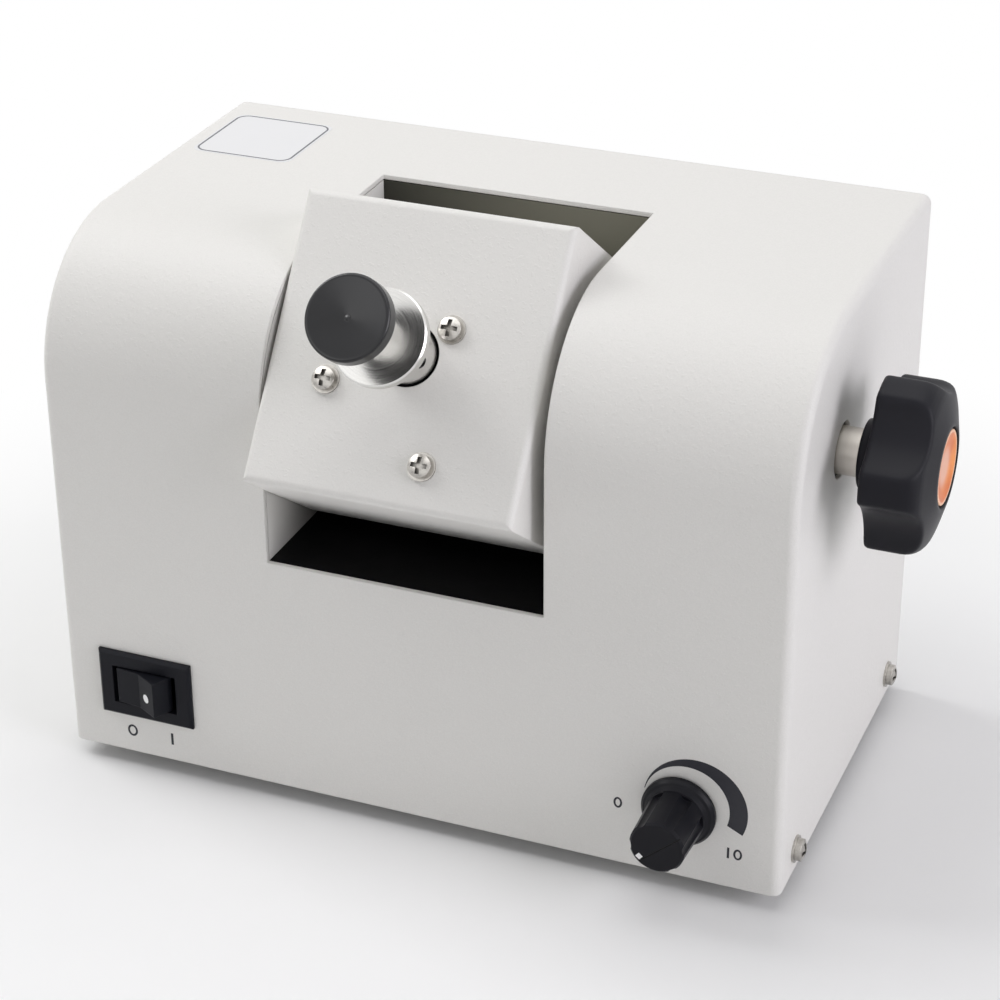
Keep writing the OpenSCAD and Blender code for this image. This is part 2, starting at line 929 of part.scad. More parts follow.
module speed_knob() {
    taper = 0.4;
    body_r = dial_d / 2;
    color("#26262a")
        on_front(cover_w - speed_x, speed_z)
            rotate([0, 0, 180 + dial_turn])
                difference() {
                    rotate_extrude()
                        polygon([
                            [0, dial_gap],
                            [skirt_d / 2, dial_gap],
                            [skirt_d / 2, dial_gap + 1],
                            [skirt_d / 2 - 0.7, skirt_t],
                            [body_r + 0.9, skirt_t + 0.3],
                            [body_r, skirt_t + 1.2],
                            [body_r - taper, dial_out - 0.6],
                            [body_r - taper - 0.6, dial_out],
                            [0, dial_out]
                        ]);
                    for (i = [0 : dial_flutes - 1])
                        rotate([0, 0, (i + 0.5) * 360 / dial_flutes])
                            translate([body_r + flute_r - flute_depth - taper / 2, 0, skirt_t + 1.7])
                                cylinder(r = flute_r, h = dial_out);
                    translate([0, 0, -cut])
                        cylinder(r = pot_shaft_r + slip_gap, h = dial_out - 4 + cut + face_gap);
                    translate([0, 0, dial_gap - cut])
                        cylinder(r = pot_nut_r + seat_gap, h = pot_nut_t + pot_bush_l + cut);
                }
}

// Control board and what stands on it
module at_board_holes() {
    for (x = [-1, 1])
        for (y = [board_hole_inset, board_d - board_hole_inset])
            translate([well_x + x * (board_w / 2 - board_hole_inset), board_front + y, 0])
                children();
}

module on_board(x, y) {
    in_cabinet()
        translate([well_x + x, board_front + y, base_t + standoff_h + board_t])
            children();
}

module control_board() {
    color("#2f6b3c")
        in_cabinet()
            difference() {
                translate([well_x - board_w / 2, board_front, base_t + standoff_h])
                    cube([board_w, board_d, board_t]);
                at_board_holes()
                    translate([0, 0, base_t + standoff_h - cut])
                        cylinder(r = m3_r + slip_gap, h = board_t + 2 * cut);
            }
}

module board_standoffs() {
    color("#b9a15c")
        in_cabinet()
            at_board_holes()
                translate([0, 0, base_t])
                    difference() {
                        cylinder(r = standoff_r, h = standoff_h, $fn = 6);
                        translate([0, 0, -cut])
                            cylinder(r = m3_r + slip_gap, h = standoff_h + 2 * cut);
                    }
}

module board_screws() {
    color("#b8b6b0")
        in_cabinet()
            at_board_holes()
                translate([0, 0, base_t + standoff_h + board_t])
                    pan_screw(board_t + standoff_h);
}

module transformer() {
    color("#4a4a46")
        on_board(transformer_x, transformer_y)
            difference() {
                translate([-transformer_w / 2, -transformer_d / 2, 0])
                    cube([transformer_w, transformer_d, transformer_h]);
                for (x = [-1, 1])
                    translate([x * transformer_w / 3 - transformer_slot_w / 2, -transformer_d / 2 - cut,
                        (transformer_h - transformer_slot_h) / 2])
                        cube([transformer_slot_w, transformer_slot_t + cut, transformer_slot_h]);
            }
}

module capacitors() {
    color("#26324a")
        for (i = [0 : len(capacitor_r) - 1])
            on_board(capacitor_x[i], capacitor_y[i])
                cylinder(r = capacitor_r[i], h = capacitor_h[i]);
}

module heat_sink() {
    color("#8f9092")
        on_board(heat_sink_x, heat_sink_y) {
            translate([-heat_sink_w / 2, -heat_sink_t - fin_reach / 2, 0])
                cube([heat_sink_w, heat_sink_t, heat_sink_h]);
            for (i = [0 : fin_count - 1])
                translate([-heat_sink_w / 2 + i * fin_pitch, -fin_reach / 2 - 0.5, 0])
                    cube([fin_t, fin_reach, heat_sink_h]);
        }
}

module terminal_blocks() {
    color("#2f7a4f")
        for (x = [-block_x, block_x])
            on_board(x, block_y)
                difference() {
                    translate([-block_w / 2, -block_d / 2, 0])
                        cube([block_w, block_d, block_h]);
                    for (i = [-1, 0, 1])
                        translate([i * block_pitch, 0, block_h * 0.7])
                            cylinder(r = block_pitch * 0.32, h = block_h * 0.3 + cut);
                    for (i = [-1, 0, 1])
                        translate([(i - 0.3) * block_pitch, -block_d / 2 - cut, block_h * 0.2])
                            cube([block_pitch * 0.6, block_d / 2 + cut, block_h * 0.34]);
                }
}

// Head
// The box with bends round its face, from three outlines that cross
module head_solid(inset, back) {
    w = head_w - 2 * inset;
    h = head_h - 2 * inset;
    r = head_r - inset;
    reach = face_reach - inset;
    translate([head_mid - spindle_x, 0, 0])
        intersection() {
            along_x(-w / 2, w / 2)
                round_end(reach, back + cut, h, r);
            translate([0, 0, -h / 2 - cut])
                linear_extrude(h + 2 * cut)
                    rotate([0, 0, 90])
                        round_end(reach, back + cut, w, r);
        }
}

// A strip of width h that starts at -reach with rounded corners
module round_end(reach, back, h, r) {
    translate([-reach + r, -h / 2])
        square([reach + back - r, h]);
    translate([-reach, -h / 2 + r])
        square([reach, h - 2 * r]);
    for (side = [-1, 1])
        translate([-reach + r, side * (h / 2 - r)])
            circle(r = r);
}

module at_face_screws() {
    at_motor()
        for (a = face_screw_angles)
            translate([face_screw_r * cos(a), 0, face_screw_r * sin(a)])
                children();
}

module head_cover() {
    color("#e6e4df") {
        difference() {
            in_head()
                intersection() {
                    difference() {
                        head_solid(0, swing_r);
                        head_solid(sheet_t, swing_r + cut);
                    }
                    translate([-head_w, 0, -head_rise])
                        union() {
                            rod_x(swing_r, 0, 2 * head_w);
                            translate([0, -face_reach - cut, -head_h])
                                cube([2 * head_w, face_reach + cut, 2 * head_h]);
                        }
                }
            in_head()
                rod_y(hub_hole_r, -face_reach - cut, -face_in + cut);
            at_face_screws()
                rod_y(m3_r + slip_gap, -face_reach - cut, -face_in + cut);
            on_tilt_axis()
                rod_x(stud_d / 2 + slip_gap, head_l - cut, head_rt + cut);
        }
    }
}

// Pivot bolt on the left: its head is outside the cheek, its nut inside the head
bolt_head_r = 6.5;
bolt_head_t = 5;
nut_t = 5;

module pivot_bolt() {
    cheek_out = window_l - cheek_t;
    nut_end = head_l + sheet_t + nut_t;
    color("#b5b3ad")
        on_tilt_axis()
            rotate([-tilt, 0, 0]) {
                rod_x(stud_d / 2, cheek_out - seat_gap, nut_end + 1);
                translate([cheek_out - seat_gap - bolt_head_t, 0, 0])
                    rotate([0, 90, 0])
                        cylinder(r = bolt_head_r * 2 / sqrt(3), h = bolt_head_t, $fn = 6);
            }
}

module pivot_bush() {
    color("#d9d6c8")
        on_tilt_axis()
            difference() {
                union() {
                    rod_x(bush_d / 2, window_l - cheek_t, head_l - face_gap);
                    rod_x(friction_d / 2, window_l, head_l - face_gap);
                }
                rod_x(stud_d / 2 + run_gap, 0, head_mid);
            }
}

module pivot_nut() {
    inside = head_l + sheet_t;
    color("#b5b3ad")
        on_tilt_axis()
            rotate([-tilt, 0, 0])
                difference() {
                    translate([inside, 0, 0])
                        rotate([0, 90, 0])
                            cylinder(r = bolt_head_r * 2 / sqrt(3), h = nut_t, $fn = 6);
                    rod_x(stud_d / 2 + slip_gap, inside - cut, inside + nut_t + cut);
                }
}

// Clamp on the right: the stud is welded to the head and pulls it against the cheek
module tilt_stud() {
    inside = head_rt - sheet_t;
    color("#b5b3ad")
        on_tilt_axis() {
            rod_x(stud_d / 2, inside - stud_flange_t, spacer_end + stud_bite);
            rod_x(stud_flange_r, inside - stud_flange_t, inside);
        }
}

module friction_washer() {
    color("#7a5a3c")
        on_tilt_axis()
            washer_x(friction_d / 2, window_r - friction_t, window_r);
}

// The steel washer between the head and the friction washer
module thrust_washer() {
    color("#b5b3ad")
        on_tilt_axis()
            washer_x(friction_d / 2 - 1, head_rt + face_gap, window_r - friction_t);
}

module washer_x(r, x0, x1) {
    difference() {
        rod_x(r, x0, x1);
        rod_x(stud_d / 2 + run_gap, x0 - cut, x1 + cut);
    }
}

module clamp_spacer() {
    color("#b9aea2")
        in_cabinet()
            translate([0, pivot_y, pivot_z])
                washer_x(spacer_d / 2, cheek_r_out, spacer_end - face_gap);
}

// The knob is a turned blank with the hollows cut between its lobes
module clamp_knob() {
    r = knob_d / 2;
    rim = knob_l - knob_dome;
    chord = r * sin(180 / knob_lobes - lobe_half);
    floor_r = r - knob_hollow;
    sag = r * cos(180 / knob_lobes - lobe_half) - floor_r;
    hollow_r = (chord * chord + sag * sag) / (2 * sag);
    color("#2c2c30")
        on_clamp()
            rotate([0, 0, 270 - knob_turn])
                difference() {
                    union() {
                        difference() {
                            rotate_extrude()
                                polygon(concat(
                                    [[0, boss_l], [r - knob_round, boss_l]],
                                    arc_points(r - knob_round, boss_l + knob_round, knob_round, -90, 0, 4),
                                    arc_points(r - knob_shoulder, rim - knob_shoulder * sin(70), knob_shoulder,
                                        0, 70, 8),
                                    [[badge_d / 2 + 1, knob_l], [0, knob_l]]
                                ));
                            for (i = [0 : knob_lobes - 1])
                                rotate([0, 0, (i + 0.5) * 360 / knob_lobes])
                                    translate([floor_r + hollow_r, 0, boss_l - cut])
                                        cylinder(r = hollow_r, h = knob_l);
                        }
                        rotate_extrude()
                            polygon(concat(
                                [[0, 0], [boss_r - 0.5, 0], [boss_r, 0.5]],
                                arc_points(boss_r + boss_l - 1, 1, boss_l - 1, 180, 110, 6),
                                [[boss_flare_r, boss_l], [boss_flare_r, boss_l + 1], [0, boss_l + 1]]
                            ));
                    }
                    translate([0, 0, -cut])
                        cylinder(r = insert_r + slip_gap, h = insert_l + cut);
                    translate([0, 0, knob_l - badge_depth])
                        cylinder(r = badge_d / 2 + slip_gap, h = badge_depth + cut);
                    translate([0, 0, knob_l - badge_groove_t])
                        cylinder(r = badge_d / 2 + badge_groove_w, h = badge_groove_t + cut);
                }
}

lobe_half = 11;

module clamp_insert() {
    color("#c2a45a")
        on_clamp()
            difference() {
                cylinder(r = insert_r, h = insert_l);
                translate([0, 0, -cut])
                    cylinder(r = stud_d / 2 + slip_gap, h = stud_bite + cut + 0.5);
            }
}

// The knob's plain coloured cap, a little crowned
module clamp_badge() {
    base = knob_l - badge_depth;
    edge = badge_depth + badge_proud;
    crown_r = (badge_d * badge_d / 4 + badge_crown * badge_crown) / (2 * badge_crown);
    color("#e08a5f")
        on_clamp()
            translate([0, 0, base])
                intersection() {
                    cylinder(r = badge_d / 2, h = edge + badge_crown);
                    translate([0, 0, edge + badge_crown - crown_r])
                        sphere(r = crown_r, $fn = 180);
                }
}

module face_screws() {
    color("#c8c4bc")
        at_face_screws()
            translate([0, -face_reach - washer_t, 0])
                rotate([90, 0, 0])
                    pan_screw(washer_t + sheet_t + front_plate_t - 0.3);
}

module face_washers() {
    color("#d2d0ca")
        at_face_screws()
            translate([0, -face_reach, 0])
                rotate([90, 0, 0])
                    ring(washer_r, m3_r + slip_gap, washer_t);
}

// Gearbox, drawn in the motor's frame: Y runs backwards, Z up
module plate_y_ring(outer_r, inner_r, y0, y1) {
    difference() {
        rod_y(outer_r, y0, y1);
        rod_y(inner_r, y0 - cut, y1 + cut);
    }
}

module at_case_screws() {
    for (a = case_screw_angles)
        translate([(gearbox_d / 2 - case_post_r - 1) * cos(a), 0, (gearbox_d / 2 - case_post_r - 1) * sin(a)])
            children();
}

module at_idler_a() {
    translate([idler_a_x, 0, idler_a_z])
        children();
}

module at_idler_b() {
    translate([idler_b_x, 0, idler_b_z])
        children();
}

module gearbox_front() {
    color("#a7a59f")
        at_motor()
            difference() {
                rod_y(gearbox_d / 2, plate_y, gears_y);
                translate([0, 0, shaft_offset])
                    rod_y(output_bush_r + slip_gap, plate_y - cut, gears_y + cut);
                for (a = face_screw_angles)
                    translate([face_screw_r * cos(a), 0, face_screw_r * sin(a)])
                        rod_y(m3_r, plate_y - cut, gears_y + cut);
                at_case_screws()
                    rod_y(case_screw_r, plate_y + 0.8, gears_y + cut);
                at_idler_a()
                    rod_y(gear_pin_r + slip_gap, plate_y + 1, gears_y + cut);
                at_idler_b()
                    rod_y(gear_pin_r + slip_gap, plate_y + 1, gears_y + cut);
            }
}

output_bush_r = 5;

module gearbox_ring() {
    color("#8f8d88")
        at_motor()
            difference() {
                union() {
                    plate_y_ring(gearbox_d / 2, gearbox_d / 2 - gearbox_wall, gears_y, rear_plate_y);
                    intersection() {
                        at_case_screws()
                            rod_y(case_post_r, gears_y, rear_plate_y);
                        rod_y(gearbox_d / 2 - 0.3, gears_y, rear_plate_y);
                    }
                }
                at_case_screws()
                    rod_y(case_screw_r + slip_gap, gears_y - cut, rear_plate_y + cut);
            }
}

module gearbox_rear() {
    color("#a7a59f")
        at_motor()
            difference() {
                rod_y(gearbox_d / 2, rear_plate_y, motor_y);
                rod_y(motor_boss_r + slip_gap, rear_plate_y - cut, motor_y + cut);
                translate([0, 0, shaft_offset])
                    rod_y(shaft_d / 2 + run_gap, rear_plate_y - cut, motor_y - 0.4);
                at_case_screws()
                    rod_y(case_screw_r + slip_gap, rear_plate_y - cut, motor_y + cut);
                at_idler_a()
                    rod_y(gear_pin_r + slip_gap, rear_plate_y - cut, motor_y - 0.4);
                at_idler_b()
                    rod_y(gear_pin_r + slip_gap, rear_plate_y - cut, motor_y - 0.4);
            }
}

module gearbox_screws() {
    color("#b8b6b0")
        at_motor()
            at_case_screws() {
                rod_y(case_screw_r - slip_gap, plate_y + 1, motor_y);
                rod_y(case_post_r - 0.2, motor_y, motor_y + 1.4);
            }
}

module gear_pins() {
    color("#c4c2bc")
        at_motor() {
            at_idler_a()
                rod_y(gear_pin_r, plate_y + 1, motor_y - 0.4);
            at_idler_b()
                rod_y(gear_pin_r, plate_y + 1, motor_y - 0.4);
        }
}

// Involute gear outline. The flanks are narrowed by the backlash, and the tip and the root are arcs.
backlash = 0.09;
addendum = 0.8 * gear_module;
dedendum = 1.25 * gear_module;
flank_steps = 4;
function base_r(teeth) = gear_module * teeth / 2 * cos(20);
function involute_angle(r, teeth) =
    r <= base_r(teeth) ? 0
    : let (a = acos(base_r(teeth) / r)) tan(a) * 180 / PI - a;
function half_tooth(r, teeth) =
    90 / teeth - backlash / (gear_module * teeth) * 180 / PI
    + involute_angle(gear_module * teeth / 2, teeth) - involute_angle(r, teeth);
function tooth_points(teeth, root_r, tip_r, turn) = concat(
    [
        for (i = [0 : flank_steps])
            let (r = root_r + (tip_r - root_r) * i / flank_steps)
            let (a = turn - half_tooth(r, teeth))
            [r * cos(a), r * sin(a)]
    ],
    [
        for (i = [flank_steps : -1 : 0])
            let (r = root_r + (tip_r - root_r) * i / flank_steps)
            let (a = turn + half_tooth(r, teeth))
            [r * cos(a), r * sin(a)]
    ]
);

module gear_outline(teeth, turn) {
    pitch_r = gear_module * teeth / 2;
    root_r = pitch_r - dedendum;
    tip_r = pitch_r + addendum;
    polygon([
        for (i = [0 : teeth - 1])
            each tooth_points(teeth, root_r, tip_r, turn + i * 360 / teeth)
    ]);
}

// A gear in the motor's frame: the outline is seen from the front, with X to the right and Z up
module gear(teeth, turn, y0, y1) {
    translate([0, y1, 0])
        rotate([90, 0, 0])
            linear_extrude(y1 - y0)
                gear_outline(teeth, turn);
}

// Each gear is turned so that one of its gaps meets a tooth of its neighbour on the line of centres
toward_a = idler_a_angle;
a_to_b = atan2(idler_b_z - idler_a_z, idler_b_x - idler_a_x);
b_to_output = atan2(shaft_offset - idler_b_z, -idler_b_x);
motor_turn = toward_a;
idler_a_wheel_turn = toward_a + 180 + 180 / wheel_teeth;
idler_a_pinion_turn = a_to_b;
idler_b_wheel_turn = a_to_b + 180 + 180 / wheel_teeth;
idler_b_pinion_turn = b_to_output;
output_turn = b_to_output + 180 + 180 / output_teeth;

module idler_gear(wheel_turn, pinion_turn, wheel_y, pinion_y) {
    difference() {
        union() {
            gear(wheel_teeth, wheel_turn, wheel_y, wheel_y + gear_w);
            gear(pinion_teeth, pinion_turn, pinion_y, wheel_y + gear_w / 2);
        }
        rod_y(gear_pin_r + run_gap, pinion_y - cut, wheel_y + gear_w + cut);
    }
}

module idler_gear_a() {
    color("#d8d2bd")
        at_motor()
            at_idler_a()
                idler_gear(idler_a_wheel_turn, idler_a_pinion_turn, layer_1_y, layer_2_y);
}

module idler_gear_b() {
    color("#d8d2bd")
        at_motor()
            at_idler_b()
                idler_gear(idler_b_wheel_turn, idler_b_pinion_turn, layer_2_y, layer_3_y);
}

module output_gear() {
    color("#c7a75e")
        at_motor()
            translate([0, 0, shaft_offset])
                difference() {
                    gear(output_teeth, output_turn, layer_3_y, layer_3_y + gear_w);
                    rod_y(shaft_d / 2 + slip_gap / 2, layer_3_y - cut, layer_3_y + gear_w + cut);
                }
}

module output_shaft() {
    color("#c4c2bc")
        in_head()
            rod_y(shaft_d / 2, -face_reach - hub_rear - shaft_bite + 0.2, motor_y - 0.4 - face_gap);
}

module output_bush() {
    color("#b98f4c")
        in_head()
            plate_y_ring(output_bush_r, shaft_d / 2 + run_gap, plate_y, gears_y);
}

// Motor
module motor_pinion() {
    color("#c7a75e")
        at_motor()
            difference() {
                gear(pinion_teeth, motor_turn, layer_1_y, layer_1_y + gear_w);
                rod_y(motor_shaft_r + slip_gap / 2, layer_1_y - cut, layer_1_y + gear_w + cut);
            }
}

can_in_y = motor_y + can_t;
can_end_y = motor_y + motor_l;
rotor_l = motor_l * rotor_l_share;
rotor_y = can_in_y + (motor_l - 2 * can_t - rotor_l) / 2;
rotor_r = motor_d / 2 - can_t - magnet_t - rotor_gap;

module motor_shaft() {
    color("#c4c2bc")
        at_motor()
            rod_y(motor_shaft_r, layer_1_y + 0.2, can_end_y - 0.4 - face_gap);
}

// The wound rotor: a slotted stack with its windings filling the slots, and the commutator behind
module motor_rotor() {
    color("#a5683c")
        at_motor()
            difference() {
                union() {
                    rod_y(rotor_r, rotor_y, rotor_y + rotor_l);
                    rod_y(rotor_r * 0.45, rotor_y - 2, can_end_y - can_t - 2);
                }
                for (i = [0 : rotor_slots - 1])
                    rotate([0, i * 360 / rotor_slots, 0])
                        translate([rotor_r - 2, rotor_y - cut, -0.6])
                            cube([3, rotor_l + 2 * cut, 1.2]);
                rod_y(motor_shaft_r + slip_gap / 2, rotor_y - 2 - cut, can_end_y);
            }
}

module motor_magnets() {
    outer = motor_d / 2 - can_t - slip_gap;
    color("#3a3a3c")
        at_motor()
            for (side = [0, 180])
                translate([0, rotor_y + rotor_l, 0])
                    rotate([90, 0, 0])
                        rotate([0, 0, side - magnet_arc / 2])
                            rotate_extrude(angle = magnet_arc)
                                translate([outer - magnet_t, 0])
                                    square([magnet_t, rotor_l]);
}

module motor_can() {
    color("#b4b2ac")
        at_motor()
            difference() {
                union() {
                    rod_y(motor_d / 2, motor_y, can_end_y);
                    rod_y(motor_boss_r, motor_y - motor_boss_t, motor_y + can_t);
                    rod_y(motor_boss_r, can_end_y - can_t, can_end_y + motor_boss_t);
                }
                rod_y(motor_d / 2 - can_t, can_in_y, can_end_y - can_t);
                rod_y(motor_shaft_r + run_gap, motor_y - motor_boss_t - cut, can_end_y - 0.4);
            }
}

// Spindle
module spindle_hub() {
    hub_r = hub_d / 2;
    flange_r = flange_d / 2;
    edge = 0.4;
    color("#cfccc6")
        on_spindle()
            difference() {
                rotate_extrude()
                    polygon([
                        [shaft_d / 2 + slip_gap / 2, hub_rear],
                        [hub_r - edge, hub_rear],
                        [hub_r, hub_rear + edge],
                        [hub_r, flange_out - flange_t],
                        [flange_r - edge, flange_out - flange_t],
                        [flange_r, flange_out - flange_t + edge],
                        [flange_r, flange_out - edge],
                        [flange_r - edge, flange_out],
                        [neck_d / 2, flange_out],
                        [neck_d / 2, flange_out + neck_l - edge],
                        [neck_d / 2 - edge, flange_out + neck_l],
                        [cap_stud_r + slip_gap, flange_out + neck_l],
                        [cap_stud_r + slip_gap, flange_out + neck_l - cap_stud_l - 0.5],
                        [0, flange_out + neck_l - cap_stud_l - 0.5],
                        [0, hub_rear + shaft_bite],
                        [shaft_d / 2 + slip_gap / 2, hub_rear + shaft_bite]
                    ]);
                at_set_screws()
                    cylinder(r = set_screw_r, h = hub_d);
            }
}

module at_set_screws() {
    for (a = [set_screw_turn, set_screw_turn + 90])
        translate([0, 0, set_screw_out])
            rotate([0, 0, a])
                rotate([0, 90, 0])
                    children();
}

module set_screws() {
    color("#55534f")
        on_spindle()
            at_set_screws()
                difference() {
                    translate([0, 0, shaft_d / 2 + slip_gap])
                        cylinder(r = set_screw_r - slip_gap, h = hub_d / 2 - shaft_d / 2 - 0.9);
                    translate([0, 0, hub_d / 2 - 2])
                        cylinder(r = 0.85, h = 2, $fn = 6);
                }
}

module cap_stud() {
    color("#c4c2bc")
        on_spindle()
            translate([0, 0, flange_out + neck_l - cap_stud_l])
                cylinder(r = cap_stud_r, h = cap_stud_l + cap_stud_bite);
}

// The turned cap: a dished face with a small pip, a straight rim and a back that narrows to the neck
module spindle_cap() {
    cap_r = cap_d / 2;
    top = cap_l - face_gap;
    back_r = neck_d / 2 + 0.8;
    color("#2a2a2e")
        on_spindle()
            translate([0, 0, flange_out + neck_l + face_gap])
                rotate_extrude()
                    polygon(concat(
                        [[cap_stud_r + slip_gap / 2, 0], [back_r, 0]],
                        [[cap_r - 0.6, cap_l - 4.6], [cap_r, cap_l - 4]],
                        arc_points(cap_r - cap_round, top - cap_round, cap_round, 0, 90, 5),
                        [[cap_r - cap_round - cap_rim_w, top]],
                        [[cap_pip_r, top - cap_dish], [0, top - cap_dish + cap_pip_h]],
                        [[0, cap_stud_bite], [cap_stud_r + slip_gap / 2, cap_stud_bite]]
                    ));
}

cover();
base_plate();
well_bracket();
well_floor();
feet();
foot_screws();
cover_screws();
cover_washers();
bracket_screws();
mains_inlet();
inlet_pins();
inlet_screws();
switch_body();
switch_terminals();
rocker();
speed_pot();
pot_shaft();
pot_nut();
speed_knob();
control_board();
board_standoffs();
board_screws();
transformer();
capacitors();
heat_sink();
terminal_blocks();
lead_grommet();
head_cover();
pivot_bolt();
pivot_bush();
pivot_nut();
tilt_stud();
friction_washer();
thrust_washer();
clamp_spacer();
clamp_knob();
clamp_insert();
clamp_badge();
face_screws();
face_washers();
gearbox_front();
gearbox_ring();
gearbox_rear();
gearbox_screws();
gear_pins();
output_bush();
output_shaft();
output_gear();
idler_gear_b();
idler_gear_a();
motor_pinion();
motor_shaft();
motor_rotor();
motor_magnets();
motor_can();
spindle_hub();
set_screws();
cap_stud();
spindle_cap();
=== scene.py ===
"""A bench-top tube rotator: finishes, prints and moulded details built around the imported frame.

Everything is in metres, in the frame's own row frame. Places on the cabinet are given in millimetres from
the lower left front corner of its cover: x to the right, y to the back, z up.
"""

import json
import math

import bpy
import numpy as np
from mathutils import Matrix, Vector


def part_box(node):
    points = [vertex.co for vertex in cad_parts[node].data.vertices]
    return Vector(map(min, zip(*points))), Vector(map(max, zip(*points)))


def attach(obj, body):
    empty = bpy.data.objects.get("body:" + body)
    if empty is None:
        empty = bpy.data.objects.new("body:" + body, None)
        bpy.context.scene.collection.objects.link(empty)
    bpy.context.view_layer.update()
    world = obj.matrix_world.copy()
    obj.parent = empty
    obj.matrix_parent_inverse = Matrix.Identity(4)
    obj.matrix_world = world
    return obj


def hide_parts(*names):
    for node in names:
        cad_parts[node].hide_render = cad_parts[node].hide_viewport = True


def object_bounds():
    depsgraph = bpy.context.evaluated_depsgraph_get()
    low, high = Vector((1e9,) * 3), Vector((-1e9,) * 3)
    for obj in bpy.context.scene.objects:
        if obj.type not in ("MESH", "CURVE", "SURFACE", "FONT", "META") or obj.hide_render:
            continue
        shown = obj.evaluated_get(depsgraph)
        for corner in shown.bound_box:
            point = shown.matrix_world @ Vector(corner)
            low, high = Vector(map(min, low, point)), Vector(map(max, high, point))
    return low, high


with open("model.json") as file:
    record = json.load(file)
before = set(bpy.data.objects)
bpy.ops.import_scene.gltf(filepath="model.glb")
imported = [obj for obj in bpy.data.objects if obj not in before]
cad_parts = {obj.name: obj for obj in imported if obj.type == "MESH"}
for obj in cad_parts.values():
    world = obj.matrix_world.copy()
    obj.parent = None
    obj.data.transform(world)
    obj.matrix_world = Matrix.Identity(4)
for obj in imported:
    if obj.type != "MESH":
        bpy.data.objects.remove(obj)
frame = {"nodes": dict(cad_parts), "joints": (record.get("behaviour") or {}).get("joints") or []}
cad_low, cad_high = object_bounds()
nodes = frame["nodes"]
joints = {joint["name"]: joint for joint in frame["joints"]}
MM = 0.001


# ---------------------------------------------------------------- places

cover_low, cover_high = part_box("cover")


def on_cabinet(x, y, z):
    """A point given in millimetres from the cover's lower left front corner, in the row frame."""
    return np.array([cover_low[0] + x * MM, cover_low[1] + y * MM, cover_low[2] + z * MM])


def axis_of(joint):
    """The point and the unit direction of a joint's axis."""
    direction = np.array(joints[joint]["axis"], float)
    return np.array(joints[joint]["pos_m"], float), direction / np.linalg.norm(direction)


tilt_point, tilt_way = axis_of("head_tilt")
clamp_point, clamp_way = axis_of("clamp_turn")
spindle_point, spindle_way = axis_of("spindle_spin")
motor_point, motor_way = axis_of("motor_spin")
dial_point, dial_way = axis_of("speed_turn")


# ---------------------------------------------------------------- camera

# The camera's place, its yaw, pitch and roll in radians, and its lens and sensor in millimetres.
CAMERA_PLACE = on_cabinet(340.3, -527.8, 400.9)
CAMERA_TURNS = (-0.386, 0.489, -0.006)
CAMERA_LENS, CAMERA_SENSOR = 96.55, 36


def make_camera():
    """A long lens from the front right and above. Its looking direction comes from yaw and pitch, and the
    picture is turned about that direction by the roll."""
    yaw, pitch, roll = CAMERA_TURNS
    ahead = Vector((math.sin(yaw) * math.cos(pitch), math.cos(yaw) * math.cos(pitch), -math.sin(pitch)))
    level = Vector((math.cos(yaw), -math.sin(yaw), 0))
    up = level.cross(ahead)
    right = level * math.cos(roll) + up * math.sin(roll)
    up = up * math.cos(roll) - level * math.sin(roll)
    data = bpy.data.cameras.new("camera")
    data.lens, data.sensor_width = CAMERA_LENS, CAMERA_SENSOR
    data.clip_start, data.clip_end = 0.01, 20
    camera = bpy.data.objects.new("camera", data)
    turned_to = Matrix((right, up, -ahead)).transposed().to_4x4()
    camera.matrix_world = Matrix.Translation(CAMERA_PLACE) @ turned_to
    bpy.context.scene.collection.objects.link(camera)
    bpy.context.scene.camera = camera


# ---------------------------------------------------------------- shader maths

class Value:
    """One output of a shader node. Arithmetic on it adds Math nodes, with plain numbers on either side."""

    def __init__(self, finish, socket):
        self.finish, self.socket = finish, socket

    def math(self, operation, *values):
        return self.finish.node("Math", {"operation": operation}, dict(enumerate(values)))

    def __add__(self, other):
        return self.math("ADD", self, other)

    def __sub__(self, other):
        return self.math("SUBTRACT", self, other)

    def __rsub__(self, other):
        return self.math("SUBTRACT", other, self)

    def __mul__(self, other):
        return self.math("MULTIPLY", self, other)

    def __truediv__(self, other):
        return self.math("DIVIDE", self, other)

    def __rtruediv__(self, other):
        return self.math("DIVIDE", other, self)

    def __pow__(self, other):
        return self.math("POWER", self, other)

    def __abs__(self):
        return self.math("ABSOLUTE", self)

    def __mod__(self, other):
        return self.math("FLOORED_MODULO", self, other)

    __radd__, __rmul__ = __add__, __mul__

    def sine(self):
        return self.math("SINE", self)

    def above(self, limit):
        return self.math("GREATER_THAN", self, limit)

    def below(self, limit):
        return self.math("LESS_THAN", self, limit)

    def greater(self, other):
        return self.math("MAXIMUM", self, other)

    def lesser(self, other):
        return self.math("MINIMUM", self, other)

    def step(self, start, end):
        """0 at start and 1 at end, held outside them, with soft ends."""
        settings = {"interpolation_type": "SMOOTHSTEP", "clamp": True}
        return self.finish.node("MapRange", settings, {0: self, 1: start, 2: end, 3: 0.0, 4: 1.0})


